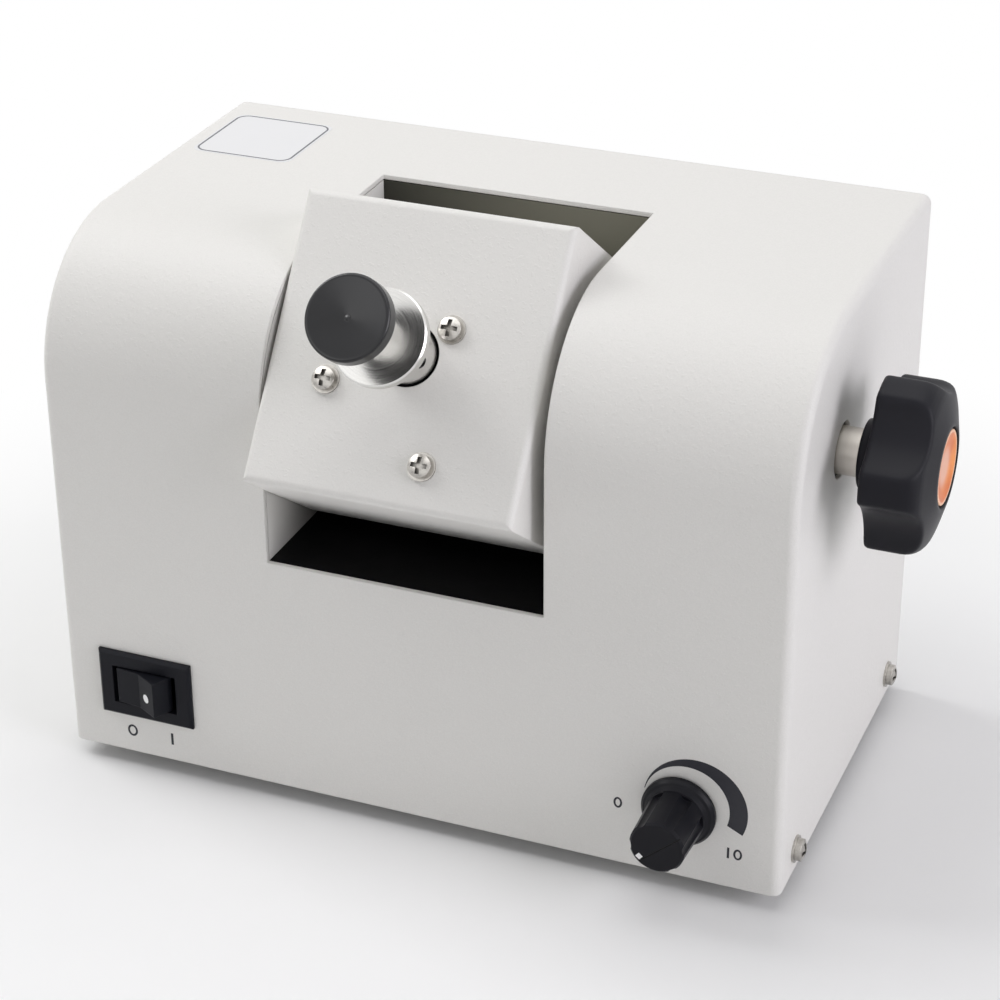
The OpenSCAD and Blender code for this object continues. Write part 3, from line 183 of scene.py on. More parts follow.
class Finish:
    """A material of nodes on one Principled shader."""

    def __init__(self, name, roughness=0.5, metallic=0.0, **constants):
        self.material = bpy.data.materials.new(name)
        self.material.use_nodes = True
        self.tree = self.material.node_tree
        self.shader = self.tree.nodes["Principled BSDF"]
        self.place = self.node("TexCoord", out="Object")
        self.set("Roughness", roughness)
        self.set("Metallic", metallic)
        for socket, value in constants.items():
            self.set(socket.replace("_", " "), value)

    def node(self, kind, settings=None, inputs=None, out=0):
        """Adds a node: its settings first, then each input's value or link, by number or name."""
        made = self.tree.nodes.new("ShaderNode" + kind)
        for setting, value in (settings or {}).items():
            setattr(made, setting, value)
        for socket, value in (inputs or {}).items():
            self.feed(made.inputs[socket], value)
        return Value(self, made.outputs[out])

    def feed(self, socket, value):
        if isinstance(value, Value):
            self.tree.links.new(value.socket, socket)
        else:
            socket.default_value = value

    def set(self, socket, value):
        """Gives one socket of the shader a number, a colour or a link."""
        if socket.endswith("Color") and not isinstance(value, Value):
            value = (*value, 1.0)
        self.feed(self.shader.inputs[socket], value)
        return self

    def vector(self, operation, *values, out=0):
        return self.node("VectorMath", {"operation": operation}, dict(enumerate(values)), out)

    def mix(self, first, second, share, blend="MIX"):
        """A colour between two, or one laid on the other by a blend mode."""
        first, second = ((*c, 1.0) if isinstance(c, tuple) else c for c in (first, second))
        settings = {"data_type": "RGBA", "blend_type": blend}
        return self.node("Mix", settings, {0: share, 6: first, 7: second}, 2)

    def noise(self, scale, detail=2.0, rough=0.5, place=None, stretch=None):
        """Noise with scale features to a metre. stretch multiplies the place's x, y and z first."""
        place = place or self.place
        if stretch:
            place = self.vector("MULTIPLY", place, stretch)
        inputs = {"Vector": place, "Scale": scale, "Detail": detail, "Roughness": rough}
        return self.node("TexNoise", None, inputs)

    def bands(self, place, scale, detail=2.0):
        """Noise of one value, as irregular bands along it."""
        inputs = {"W": place, "Scale": scale, "Detail": detail}
        return self.node("TexNoise", {"noise_dimensions": "1D"}, inputs)

    def cells(self, scale, out="Distance", feature="F1", place=None):
        settings = {"feature": feature}
        return self.node("TexVoronoi", settings, {"Vector": place or self.place, "Scale": scale}, out)

    def parts(self):
        """The place's x, y and z as three values."""
        split = self.tree.nodes.new("ShaderNodeSeparateXYZ")
        self.tree.links.new(self.place.socket, split.inputs[0])
        return [Value(self, split.outputs[i]) for i in range(3)]

    def around(self, point, way):
        """The distance along an axis and the distance from it, from dot product and Pythagoras."""
        arm = self.vector("SUBTRACT", self.place, tuple(point))
        along = self.vector("DOT_PRODUCT", arm, tuple(way), out="Value")
        square = self.vector("DOT_PRODUCT", arm, arm, out="Value")
        return along, ((square - along * along).greater(0.0)) ** 0.5

    def soften(self, radius):
        """Rounds the look of sharp edges by a radius in metres, under any relief that is added later."""
        return self.set("Normal", self.node("Bevel", {"samples": 6}, {"Radius": radius}))

    def relief(self, height, depth):
        """Bumps the surface by a height from 0 to 1, times a depth in metres."""
        last = self.shader.inputs["Normal"].links
        inputs = {"Strength": 1.0, "Distance": depth, "Height": height}
        if last:
            inputs["Normal"] = Value(self, last[0].from_socket)
        return self.set("Normal", self.node("Bump", None, inputs))


# ---------------------------------------------------------------- finishes

def shaded(tone, share):
    """A colour made lighter or darker by a factor."""
    return tuple(channel * share for channel in tone)


def powder_coat(name, tone, roughness=0.42):
    """Satin powder coat: even colour, a fine orange peel, a finer grain and sparse grains standing proud."""
    coat = Finish(name, Specular_IOR_Level=0.35).soften(0.0006)
    drift = coat.noise(22, 2)
    speck = coat.noise(2600, 1).step(0.35, 0.65)
    even = coat.mix(shaded(tone, 0.98), tone, drift)
    coat.set("Base Color", coat.mix(even, shaded(tone, 1.015), speck))
    coat.set("Roughness", roughness + 0.08 * coat.noise(420, 2))
    coat.relief(coat.noise(620, 2, 0.45), 0.00005)
    return coat.relief(coat.noise(950, 2, 0.5).step(0.56, 0.72), 0.00003)


def well_coat_painted_shade(name, tone):
    """The well's white coat with painted shade: full white at the mouth, darkening further in, and a dark
    painted shade on the well's back, darkest in its left corner."""
    coat = Finish(name, 0.55, Specular_IOR_Level=0.2)
    x, y, z = coat.parts()
    low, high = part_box("head_cover")
    # How deep a point lies in the well, for the painted shade that darkens the side walls further in.
    mouth = (y - float(cover_low[1])).lesser(float(cover_high[2]) - z)
    side = coat.mix(tone, (0.16, 0.155, 0.14), mouth.step(-0.004, 0.032) * 0.92)
    # Painted shade on the back wall: darkest at its left end, lighter towards the right.
    shade = x.step(float(low[0]) - 0.01, float(high[0]) - 0.005)
    back = coat.mix((0.035, 0.035, 0.028), (0.20, 0.195, 0.155), shade)
    coat.set("Base Color", coat.mix(side, back, y.above(float(WELL_BACK))))
    return coat.relief(coat.noise(620, 2, 0.45), 0.00005)


def black_paint_and_painted_shade(name):
    """Flat black paint with dust in it."""
    paint = Finish(name, Specular_IOR_Level=0.08)
    dust = paint.noise(3800, 2).step(0.62, 0.75)
    paint.set("Base Color", paint.mix((0.0016, 0.0016, 0.002), (0.006, 0.006, 0.0065), dust))
    paint.set("Roughness", 0.4 + 0.15 * paint.noise(160, 3))
    return paint.relief(paint.noise(900, 2), 0.00002)


def zinc_plate(name):
    """Bright zinc on sheet steel: pale clouds and rolling lines."""
    zinc = Finish(name, metallic=1.0)
    clouds = zinc.noise(55, 4, 0.6)
    lines = zinc.noise(90, 3, 0.6, stretch=(1.0, 22.0, 22.0))
    zinc.set("Base Color", zinc.mix((0.58, 0.58, 0.57), (0.68, 0.67, 0.65), clouds))
    zinc.set("Roughness", 0.28 + 0.22 * lines)
    return zinc.relief(lines, 0.000012)


def turned_metal(name, tone, point, way, roughness=0.15, ring_depth=0.000002, rings=9000, streaks=0.12):
    """Metal turned in a lathe: rings about the axis, one for each step of the tool along or out from it."""
    metal = Finish(name, metallic=1.0)
    along, out = metal.around(point, way)
    tool = metal.bands(along + out * 0.83, rings)
    band = metal.bands(along - out * 0.6, 700.0, 3.0)
    metal.set("Base Color", metal.mix(shaded(tone, 0.9), tone, band))
    metal.set("Roughness", roughness + streaks * tool)
    return metal.relief(tool, ring_depth)


def polished_steel(name, tone, point, way):
    """Polished after turning: only faint wide rings are left, as bands of colour and of gloss."""
    steel = Finish(name, metallic=1.0)
    along, out = steel.around(point, way)
    band = steel.bands(along + out * 0.83, 2600.0)
    steel.set("Base Color", steel.mix(shaded(tone, 0.86), tone, band))
    return steel.set("Roughness", 0.14 + 0.1 * band)


def plated_steel(name, tone=(0.50, 0.48, 0.45), roughness=0.2):
    """Plated fasteners: bright with small stains and tumbling marks, and painted shade where the metal faces
    itself, as in a screw's cross."""
    steel = Finish(name, metallic=1.0).soften(0.00015)
    stain = steel.noise(900, 4, 0.65)
    # Ambient occlusion darkens the colour where the metal faces itself: painted shade in recesses such as a
    # screw's cross.
    outside_painted_shade = steel.node("AmbientOcclusion", {"samples": 8, "only_local": True}, {"Distance": 0.0012}, "AO")
    plate = steel.mix(shaded(tone, 0.78), tone, stain.step(0.3, 0.6))
    steel.set("Base Color", steel.mix(shaded(tone, 0.22), plate, outside_painted_shade.step(0.35, 0.95)))
    steel.set("Roughness", roughness + 0.2 * stain)
    return steel.relief(steel.noise(2500, 3), 0.000006)


def moulded(name, tone, roughness=0.4, grain=2600, depth=0.000010, specular=0.35, soft=0.0004,
            uneven=0.13):
    """Moulded plastic with a spark-eroded grain and slightly uneven gloss."""
    plastic = Finish(name, Specular_IOR_Level=specular).soften(soft)
    pits = plastic.noise(grain, 2, 0.6)
    cloud = plastic.noise(130, 3)
    plastic.set("Base Color", plastic.mix(shaded(tone, 1 - uneven), shaded(tone, 1 + uneven), cloud))
    plastic.set("Roughness", roughness + 0.1 * pits + 0.06 * cloud)
    return plastic.relief(pits, depth)


def glossy_cap(name):
    """Polished black plastic, faintly uneven from the mould."""
    cap = Finish(name, Specular_IOR_Level=0.45).soften(0.0003)
    flow = cap.noise(70, 3)
    cap.set("Base Color", cap.mix((0.006, 0.006, 0.0075), (0.012, 0.012, 0.0145), flow.step(0.35, 0.65)))
    cap.set("Roughness", 0.14 + 0.08 * flow)
    return cap.relief(cap.noise(240, 1), 0.00001)


def orange_badge(name):
    """The clamp knob's cap: a pale thin ring at the rim, a deep orange slope inside it and a paler, dished
    middle; the rim's ring and the middle's paleness are painted highlights.
    """
    badge = Finish(name, Specular_IOR_Level=0.2)
    out = badge.around(clamp_point, clamp_way)[1]
    low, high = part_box("clamp_badge")
    radius = (high[2] - low[2]) / 2
    # Masks for the painted highlights: the paler middle and the pale ring at the rim.
    middle = out.step(radius * 0.66, radius * 0.3)
    rim = out.step(radius * 0.87, radius * 0.95)
    cloud = badge.noise(110, 3)
    deep = badge.mix((0.74, 0.19, 0.055), (0.92, 0.34, 0.10), cloud.step(0.35, 0.65))
    # The middle's and the rim's pale colours are painted highlights laid on the deep orange.
    face = badge.mix(deep, (0.86, 0.48, 0.35), middle * 0.9)
    badge.set("Base Color", badge.mix(face, (0.95, 0.60, 0.40), rim * 0.85))
    badge.set("Roughness", 0.3 + 0.12 * cloud)
    return badge.relief(badge.noise(1800, 2), 0.000006)


def rubber(name):
    """Black rubber with talc in its pores."""
    skin = Finish(name, Specular_IOR_Level=0.3)
    pores = skin.noise(1700, 3, 0.7)
    skin.set("Base Color", skin.mix((0.012, 0.012, 0.013), (0.035, 0.034, 0.033), pores.step(0.5, 0.75)))
    skin.set("Roughness", 0.7 + 0.2 * pores)
    return skin.relief(pores, 0.00003)


def cast_metal(name, tone, roughness=0.45):
    """Die-cast metal: a dull skin with fine pits and flow marks."""
    cast = Finish(name, metallic=1.0)
    pits = cast.cells(1500).step(0.0, 0.35)
    flow = cast.noise(140, 4, 0.6)
    cast.set("Base Color", cast.mix(shaded(tone, 0.78), tone, flow))
    cast.set("Roughness", roughness + 0.2 * flow)
    return cast.relief(pits, 0.000012)


def circuit_board(name):
    """Solder mask over copper: paler tracks between rows of small pads."""
    board = Finish(name, Specular_IOR_Level=0.5)
    x = board.parts()[0]
    wander = board.noise(35, 1)
    tracks = abs(((x + wander * 0.006) * 260.0 % 1.0) - 0.5).below(0.17)
    lanes = board.cells(60, out="Color")
    lane = board.node("SeparateColor", None, {0: lanes}).above(0.45)
    pads = board.cells(380).below(0.22)
    copper = (tracks * lane).greater(pads)
    board.set("Base Color", board.mix((0.012, 0.085, 0.03), (0.035, 0.17, 0.065), copper))
    board.set("Roughness", 0.25 + 0.2 * board.noise(400, 3))
    return board.relief(copper, 0.00003)


def laminations(name):
    """A stack of thin varnished steel sheets, seen on edge, with tape round the winding."""
    stack = Finish(name, metallic=0.4)
    y = stack.parts()[1]
    sheet = (y * (2 * math.pi / 0.0007)).sine() * 0.5 + 0.5
    rust = stack.noise(260, 4, 0.7)
    stack.set("Base Color", stack.mix((0.035, 0.035, 0.037), (0.10, 0.095, 0.085), sheet * rust))
    stack.set("Roughness", 0.45 + 0.3 * rust)
    return stack.relief(sheet, 0.00005)


def windings(name):
    """Enamelled copper wire, wound along the motor's axis, with painted shade between neighbouring wires."""
    coil = Finish(name, metallic=1.0)
    along, out = coil.around(motor_point, motor_way)
    # Each wire is lighter across its crown and darker at its sides: painted shade between the wires.
    wire = ((along * 0.35 + out) * (2 * math.pi / 0.00045)).sine() * 0.5 + 0.5
    coil.set("Base Color", coil.mix((0.22, 0.06, 0.025), (0.66, 0.27, 0.12), wire))
    coil.set("Roughness", 0.25 + 0.15 * coil.noise(800, 2))
    return coil.relief(wire, 0.0001)


def sintered(name, tone, metallic=1.0):
    """A pressed powder part: dull, with open pores, painted darker as painted shade in them."""
    powder = Finish(name, metallic=metallic)
    pores = powder.cells(2600).step(0.05, 0.3)
    # The pores' darker colour is painted shade in the holes.
    powder.set("Base Color", powder.mix(shaded(tone, 0.55), tone, pores))
    powder.set("Roughness", 0.55 - 0.15 * pores)
    return powder.relief(pores, 0.00002)


def fibre(name):
    """Pressed fibre sheet: short hairs in all directions."""
    felt = Finish(name, Specular_IOR_Level=0.2)
    hairs = felt.noise(900, 4, 0.7, stretch=(0.4, 3.0, 1.0))
    felt.set("Base Color", felt.mix((0.09, 0.045, 0.02), (0.26, 0.15, 0.08), hairs))
    felt.set("Roughness", 0.8 + 0.15 * hairs)
    return felt.relief(hairs, 0.00005)


def extruded(name, tone=(0.62, 0.62, 0.63)):
    """Extruded aluminium: fine lines drawn upwards."""
    bar = Finish(name, metallic=1.0)
    lines = bar.noise(1500, 2, 0.6, stretch=(1.0, 1.0, 0.03))
    bar.set("Base Color", bar.mix(shaded(tone, 0.85), tone, lines))
    bar.set("Roughness", 0.3 + 0.2 * lines)
    return bar.relief(lines, 0.00001)


def capacitor_sleeve(name):
    """Shrink sleeve with a pale stripe down one side, and the can's bare top."""
    sleeve = Finish(name, Specular_IOR_Level=0.5)
    x, _, z = sleeve.parts()
    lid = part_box("capacitors")[1][2]
    stripe = abs((x * 160.0 % 1.0) - 0.5).below(0.1)
    top = z.above(lid - 0.0006)
    dye = sleeve.mix((0.012, 0.02, 0.06), (0.35, 0.36, 0.38), stripe)
    sleeve.set("Base Color", sleeve.mix(dye, (0.6, 0.6, 0.6), top))
    sleeve.set("Metallic", top)
    sleeve.set("Roughness", 0.22 + 0.15 * sleeve.noise(700, 2))
    return sleeve.relief(sleeve.noise(500, 2), 0.00002)


def speed_knob_plastic(name):
    """The speed knob: satin black, with a thin saw cut across its flat end, sunk in and painted darker as
    painted shade in the groove.
    """
    knob = Finish(name, Specular_IOR_Level=0.16).soften(0.00025)
    grain = knob.noise(3000, 2, 0.6)
    x, y, z = knob.parts()
    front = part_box("speed_knob")[0][1]
    start, end = dial_point + DIAL_CUT
    run = (end - start)[[0, 2]]
    run = run / np.linalg.norm(run)
    across = (x - start[0]) * float(run[1]) - (z - start[2]) * float(run[0])
    cut = abs(across).step(0.00022, 0.0001) * y.below(front + 0.0006)
    # The cut's near-black colour is painted shade in the groove.
    knob.set("Base Color", knob.mix((0.006, 0.006, 0.009), (0.001, 0.001, 0.001), cut))
    knob.set("Roughness", 0.26 + 0.12 * grain)
    knob.relief(1.0 - cut, 0.00025)
    return knob.relief(grain, 0.000008)


def ink(name, tone):
    """Screen-printed ink, slightly broken by the coat's grain."""
    print_ = Finish(name, Specular_IOR_Level=0.3)
    grain = print_.noise(620, 2, 0.45)
    print_.set("Base Color", print_.mix(tone, tuple(min(1.0, c * 1.25 + 0.004) for c in tone), grain))
    print_.set("Roughness", 0.4 + 0.15 * grain)
    return print_.relief(grain, 0.00004)


# The saw cut across the speed knob's end, from one rim to the other, seen from the dial's axis.
DIAL_CUT = np.array([[5.9, 0, 4.1], [-3.9, 0, -4.3]]) * MM
# Just before the well's back wall, which is the bracket's hindmost sheet.
WELL_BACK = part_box("well_bracket")[1][1] - 2.2 * MM

WHITE_TONE = (0.80, 0.788, 0.762)
FINISHES = {
    "white_coat": powder_coat("white_coat", WHITE_TONE),
    "well_coat_painted_shade": well_coat_painted_shade("well_coat_painted_shade", WHITE_TONE),
    "head_coat": powder_coat("head_coat", shaded(WHITE_TONE, 1.01)),
    "black_paint_and_painted_shade": black_paint_and_painted_shade("black_paint_and_painted_shade"),
    "zinc": zinc_plate("zinc"),
    "tilt_zinc": turned_metal("tilt_zinc", (0.62, 0.61, 0.58), tilt_point, tilt_way, 0.25),
    "spacer_steel": turned_metal("spacer_steel", (0.60, 0.565, 0.52), tilt_point, tilt_way,
                                 0.24, 0.000004, 5200, 0.2),
    "spindle_steel": polished_steel("spindle_steel", (0.76, 0.75, 0.73), spindle_point, spindle_way),
    "shaft_steel": turned_metal("shaft_steel", (0.66, 0.65, 0.63), motor_point, motor_way, 0.15),
    "gear_brass": turned_metal("gear_brass", (0.66, 0.47, 0.17), spindle_point, spindle_way, 0.25),
    "dial_aluminium": turned_metal("dial_aluminium", (0.62, 0.62, 0.63), dial_point, dial_way, 0.3),
    "motor_zinc": turned_metal("motor_zinc", (0.60, 0.60, 0.58), motor_point, motor_way, 0.3),
    "plated_steel": plated_steel("plated_steel"),
    "black_oxide": plated_steel("black_oxide", (0.07, 0.07, 0.07), 0.35),
    "brass": plated_steel("brass", (0.66, 0.47, 0.17), 0.25),
    "rubber": rubber("rubber"),
    "switch_black": moulded("switch_black", (0.0075, 0.008, 0.0115), 0.36, 3200, 0.000005, 0.15, 0.0004),
    "clamp_black": moulded("clamp_black", (0.0092, 0.009, 0.013), 0.32, 2400, 0.000008, 0.17, 0.0011),
    "inlet_black": moulded("inlet_black", (0.010, 0.010, 0.011), 0.5, specular=0.2),
    "knob_black": speed_knob_plastic("knob_black"),
    "cap_black": glossy_cap("cap_black"),
    "badge_orange": orange_badge("badge_orange"),
    "bush_white": moulded("bush_white", (0.70, 0.68, 0.60), 0.35, 1500),
    "gear_cream": moulded("gear_cream", (0.66, 0.60, 0.44), 0.38, 1800),
    "fibre": fibre("fibre"),
    "board_green": circuit_board("board_green"),
    "terminal_green": moulded("terminal_green", (0.02, 0.22, 0.08), 0.4, 2000),
    "capacitor_sleeve": capacitor_sleeve("capacitor_sleeve"),
    "laminations": laminations("laminations"),
    "aluminium": extruded("aluminium"),
    "cast_zinc": cast_metal("cast_zinc", (0.52, 0.52, 0.50)),
    "bronze": sintered("bronze", (0.52, 0.34, 0.15)),
    "ferrite": sintered("ferrite", (0.05, 0.05, 0.055), 0.2),
    "windings": windings("windings"),
    "dark_ink": ink("dark_ink", (0.026, 0.026, 0.033)),
    "grey_ink": ink("grey_ink", (0.14, 0.145, 0.16)),
    "white_ink": ink("white_ink", (0.80, 0.80, 0.80)),
    "sticker": moulded("sticker", (0.80, 0.80, 0.81), 0.3, 900, 0.000004, 0.4, 0.0001, 0.01),
}

NODE_FINISHES = {
    "white_coat": ["cover"],
    "well_coat_painted_shade": ["well_bracket"],
    "head_coat": ["head_cover"],
    # On the gearbox front this black is painted shade, which keeps the gap round the spindle hub dark.
    "black_paint_and_painted_shade": ["well_floor", "gearbox_front"],
    "zinc": ["base_plate", "pivot_bolt", "pivot_nut"],
    "tilt_zinc": ["tilt_stud", "thrust_washer"],
    "spacer_steel": ["clamp_spacer"],
    "spindle_steel": ["spindle_hub", "output_shaft", "cap_stud"],
    "shaft_steel": ["motor_shaft", "gear_pins"],
    "gear_brass": ["output_gear", "motor_pinion"],
    "dial_aluminium": ["pot_shaft"],
    "motor_zinc": ["motor_can"],
    "plated_steel": ["foot_screws", "cover_screws", "cover_washers", "bracket_screws", "inlet_screws",
                     "pot_nut", "board_screws", "face_screws", "face_washers", "gearbox_screws"],
    "black_oxide": ["set_screws"],
    "brass": ["inlet_pins", "switch_terminals", "board_standoffs", "clamp_insert"],
    "rubber": ["feet", "lead_grommet"],
    "switch_black": ["switch_body", "rocker"],
    "clamp_black": ["clamp_knob"],
    "inlet_black": ["mains_inlet"],
    "knob_black": ["speed_knob"],
    "cap_black": ["spindle_cap"],
    "badge_orange": ["clamp_badge"],
    "bush_white": ["pivot_bush"],
    "gear_cream": ["idler_gear_a", "idler_gear_b"],
    "fibre": ["friction_washer"],
    "board_green": ["control_board"],
    "terminal_green": ["terminal_blocks"],
    "capacitor_sleeve": ["capacitors"],
    "laminations": ["transformer"],
    "aluminium": ["heat_sink"],
    "cast_zinc": ["speed_pot", "gearbox_ring", "gearbox_rear"],
    "bronze": ["output_bush"],
    "ferrite": ["motor_magnets"],
    "windings": ["motor_rotor"],
}


def paint_nodes():
    """Gives each node of the frame its finish, and stops if one is left out."""
    painted = {name for names in NODE_FINISHES.values() for name in names}
    assert painted == set(nodes), sorted(painted ^ set(nodes))
    for finish, names in NODE_FINISHES.items():
        for name in names:
            node = nodes[name]
            if not node.material_slots:
                node.data.materials.append(None)
            for slot in node.material_slots:
                slot.material = FINISHES[finish].material


# ---------------------------------------------------------------- surfaces

def surface(name, points, body, finish, around=True, ring=True, smooth=True):
    """A mesh from a grid of points, rows by columns. The rows close on themselves if around, and the columns
    if ring. A row's ends are left as they are otherwise."""
    rows, columns = points.shape[:2]
    index = np.arange(rows * columns).reshape(rows, columns)
    if around:
        index = np.concatenate([index, index[:, :1]], axis=1)
    if ring:
        index = np.concatenate([index, index[:1]], axis=0)
    faces = np.stack([index[:-1, :-1], index[:-1, 1:], index[1:, 1:], index[1:, :-1]], axis=-1).reshape(-1, 4)
    mesh = bpy.data.meshes.new(name)
    mesh.from_pydata(points.reshape(-1, 3).tolist(), [], faces.tolist())
    mesh.validate()
    mesh.polygons.foreach_set("use_smooth", [smooth] * len(mesh.polygons))
    piece = bpy.data.objects.new(name, mesh)
    bpy.context.scene.collection.objects.link(piece)
    piece.data.materials.append(FINISHES[finish].material)
    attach(piece, body)
    return piece


def ribbon(inner, outer, lift, direction):
    """A thin flat ribbon between two outlines: its section is a rectangle, carried along both at once.
    Gives rows of four corners, for surface()."""
    rise = np.array(direction) * lift
    return np.stack([inner, inner + rise, outer + rise, outer], axis=1)


def front_face(x, z):
    """Points on the cabinet's flat front, from arrays of x and z in millimetres."""
    return np.stack([cover_low[0] + x * MM, np.full_like(x, cover_low[1]), cover_low[2] + z * MM], axis=-1)


PRINT_RISE = 0.03 * MM
OUT_OF_FRONT = (0, -1, 0)


def reach(angle, x, z, centre_x, centre_z, radius):
    """How far a circle lies from the point x, z at each angle: the offset's part along the ray, and the
    rest of the radius by Pythagoras."""
    along = (centre_x - x) * np.cos(angle) + (centre_z - z) * np.sin(angle)
    return along + np.sqrt(radius ** 2 - (centre_x - x) ** 2 - (centre_z - z) ** 2 + along ** 2)


# The speed scale's middle, then its inner and outer circle's x, z and radius, in millimetres, and in degrees
# its left end and how far each circle runs from there.
SCALE_MIDDLE = (173.5, 20.0)
SCALE_INNER, SCALE_OUTER = (175.2, 21.7, 11.2), (177.5, 21.8, 13.6)
SCALE_START, SCALE_INNER_RUN, SCALE_OUTER_RUN = 155.7, 164.0, 168.7


def speed_scale():
    """The tapered arc beside the speed knob: the band between two circles that nearly touch at its left end.
    Its angle runs clockwise about the knob, and its right end is cut a little aslant."""
    share = np.linspace(0, 1, 90)
    x, z = SCALE_MIDDLE
    inner_angle = np.radians(SCALE_START - SCALE_INNER_RUN * share)
    outer_angle = np.radians(SCALE_START - SCALE_OUTER_RUN * share)
    inner = reach(inner_angle, x, z, *SCALE_INNER)
    outer = reach(outer_angle, x, z, *SCALE_OUTER)
    low = front_face(x + inner * np.cos(inner_angle), z + inner * np.sin(inner_angle))
    high = front_face(x + outer * np.cos(outer_angle), z + outer * np.sin(outer_angle))
    band = ribbon(low, high, PRINT_RISE, OUT_OF_FRONT)
    surface("speed_scale", band, "cabinet", "dark_ink", ring=False, smooth=False)


def ring_print(name, x, z, width, height, stroke):
    """A printed zero: the ribbon between two ovals, each a circle drawn out in z."""
    angle = np.linspace(0, 2 * math.pi, 48, endpoint=False)
    cosine, sine = np.cos(angle), np.sin(angle)
    inner = front_face(x + (width / 2 - stroke) * cosine, z + (height / 2 - stroke) * sine)
    outer = front_face(x + width / 2 * cosine, z + height / 2 * sine)
    oval = ribbon(inner, outer, PRINT_RISE, OUT_OF_FRONT)
    surface(name, oval, "cabinet", "dark_ink", smooth=False)


def bar_print(name, x, z, width, height):
    """A printed upright stroke, as a ribbon between its left and its right edge."""
    rise = np.linspace(-height / 2, height / 2, 4)
    left = front_face(x - width / 2 + 0 * rise, z + rise)
    right = front_face(x + width / 2 + 0 * rise, z + rise)
    stroke = ribbon(left, right, PRINT_RISE, OUT_OF_FRONT)
    surface(name, stroke, "cabinet", "dark_ink", ring=False, smooth=False)


def disc_on(node, body, name, place, way, radius, finish, square=1.0, turn=0.0):
    """A thin printed dot laid on a node, facing the way it faces. Rings of points grow from the middle, with
    the circle's sine and cosine to the power that squares it, turned by an angle."""
    start = Vector(place) + Vector(way) * 0.02
    hit, spot, normal, _ = nodes[node].ray_cast(start, -Vector(way))
    assert hit, name
    side = normal.cross(Vector((0, 0, 1))).normalized()
    up = side.cross(normal).normalized()
    angle = np.linspace(0, 2 * math.pi, 48, endpoint=False)
    across = np.sign(np.cos(angle)) * np.abs(np.cos(angle)) ** square
    along = np.sign(np.sin(angle)) * np.abs(np.sin(angle)) ** square
    side, up = side * math.cos(turn) + up * math.sin(turn), up * math.cos(turn) - side * math.sin(turn)
    rim = across[:, None] * np.array(side) + along[:, None] * np.array(up)
    shares = np.array([1.0, 1.0, 0.85, 0.001])[:, None, None]
    lifts = np.array([-0.01, 0.02, 0.03, 0.03])[:, None, None] * MM
    points = np.array(spot) + rim[None] * radius * shares + np.array(normal) * lifts
    return surface(name, points, body, finish, ring=False, smooth=False)


def rounded_loop(x, y, half_x, half_y, corner):
    """A rectangle with round corners on the cabinet's top: each quadrant's corner centre plus a circle, in
    millimetres."""
    angle = np.linspace(0, 2 * math.pi, 96, endpoint=False) + math.pi / 96
    cosine, sine = np.cos(angle), np.sin(angle)
    across = x + np.sign(cosine) * (half_x - corner) + corner * cosine
    along = y + np.sign(sine) * (half_y - corner) + corner * sine
    top = np.full_like(along, cover_high[2])
    return np.stack([cover_low[0] + across * MM, cover_low[1] + along * MM, top], axis=-1)


def top_sticker():
    """A blank white sticker on the cabinet's top, and the thin line printed round it."""
    x, y = 20.0, 90.5
    rise = np.array([0, 0, 1]) * 0.05 * MM
    rim = rounded_loop(x, y, 14.6, 15.1, 3.0)
    middle = np.array([cover_low[0] + x * MM, cover_low[1] + y * MM, cover_high[2]])
    inward = rim - middle
    sheet = np.stack([rim, rim + rise, middle + inward * 0.5 + rise, middle + inward * 0.001 + rise])
    surface("top_sticker", sheet, "cabinet", "sticker", ring=False, smooth=False)
    outer = rounded_loop(x, y, 14.0, 14.5, 3.4) + rise
    inner = rounded_loop(x, y, 13.5, 14.0, 2.9) + rise
    line = ribbon(inner, outer, PRINT_RISE, (0, 0, 1))
    surface("sticker_line", line, "cabinet", "grey_ink", smooth=False)


def prints():
    """The speed scale, a zero and a ten at its ends, the two marks under the switch, and the white marks on
    the knob and the rocker."""
    speed_scale()
    ring_print("dial_zero", 157.2, 18.0, 2.3, 3.2, 0.55)
    bar_print("dial_ten_one", 186.4, 10.2, 0.6, 3.2)
    ring_print("dial_ten_zero", 188.9, 10.2, 2.3, 3.2, 0.55)
    ring_print("switch_off_mark", 18.5, 6.6, 3.0, 3.6, 0.6)
    bar_print("switch_on_mark", 30.5, 6.6, 0.7, 3.6)
    disc_on("rocker", "rocker", "rocker_dot", on_cabinet(25.7, 0, 20.55), OUT_OF_FRONT, 1.25 * MM,
            "white_ink")
    mark = dial_point * (1, 0, 1) + (-4.35 * MM, cover_low[1], -3.3 * MM)
    disc_on("speed_knob", "speed_control", "knob_mark", mark, OUT_OF_FRONT, 0.7 * MM,
            "white_ink", 0.2, 0.7)
    top_sticker()


# ---------------------------------------------------------------- the clamp knob

# The rim's radius, the hollows' floor and the width over which the hollows and the blank blend, in
# millimetres, then the number of lobes, half a lobe's width at the rim and the first lobe's turn up from the
# front, in radians.
KNOB_RADIUS, HOLLOW_FLOOR, KNOB_BLEND = 22.3, 17.6, 1.4
LOBES, LOBE_HALF, LOBE_TURN = 5, math.radians(11), math.radians(5)
# How far the knob's back half reaches from the spacer's end, and the radius outside which it is squeezed.
BACK_REACH, BACK_ROOT = 9.0, 12.0
# How steeply the hollows' distance grows past their edge.
HOLLOW_END_SLOPE = 6

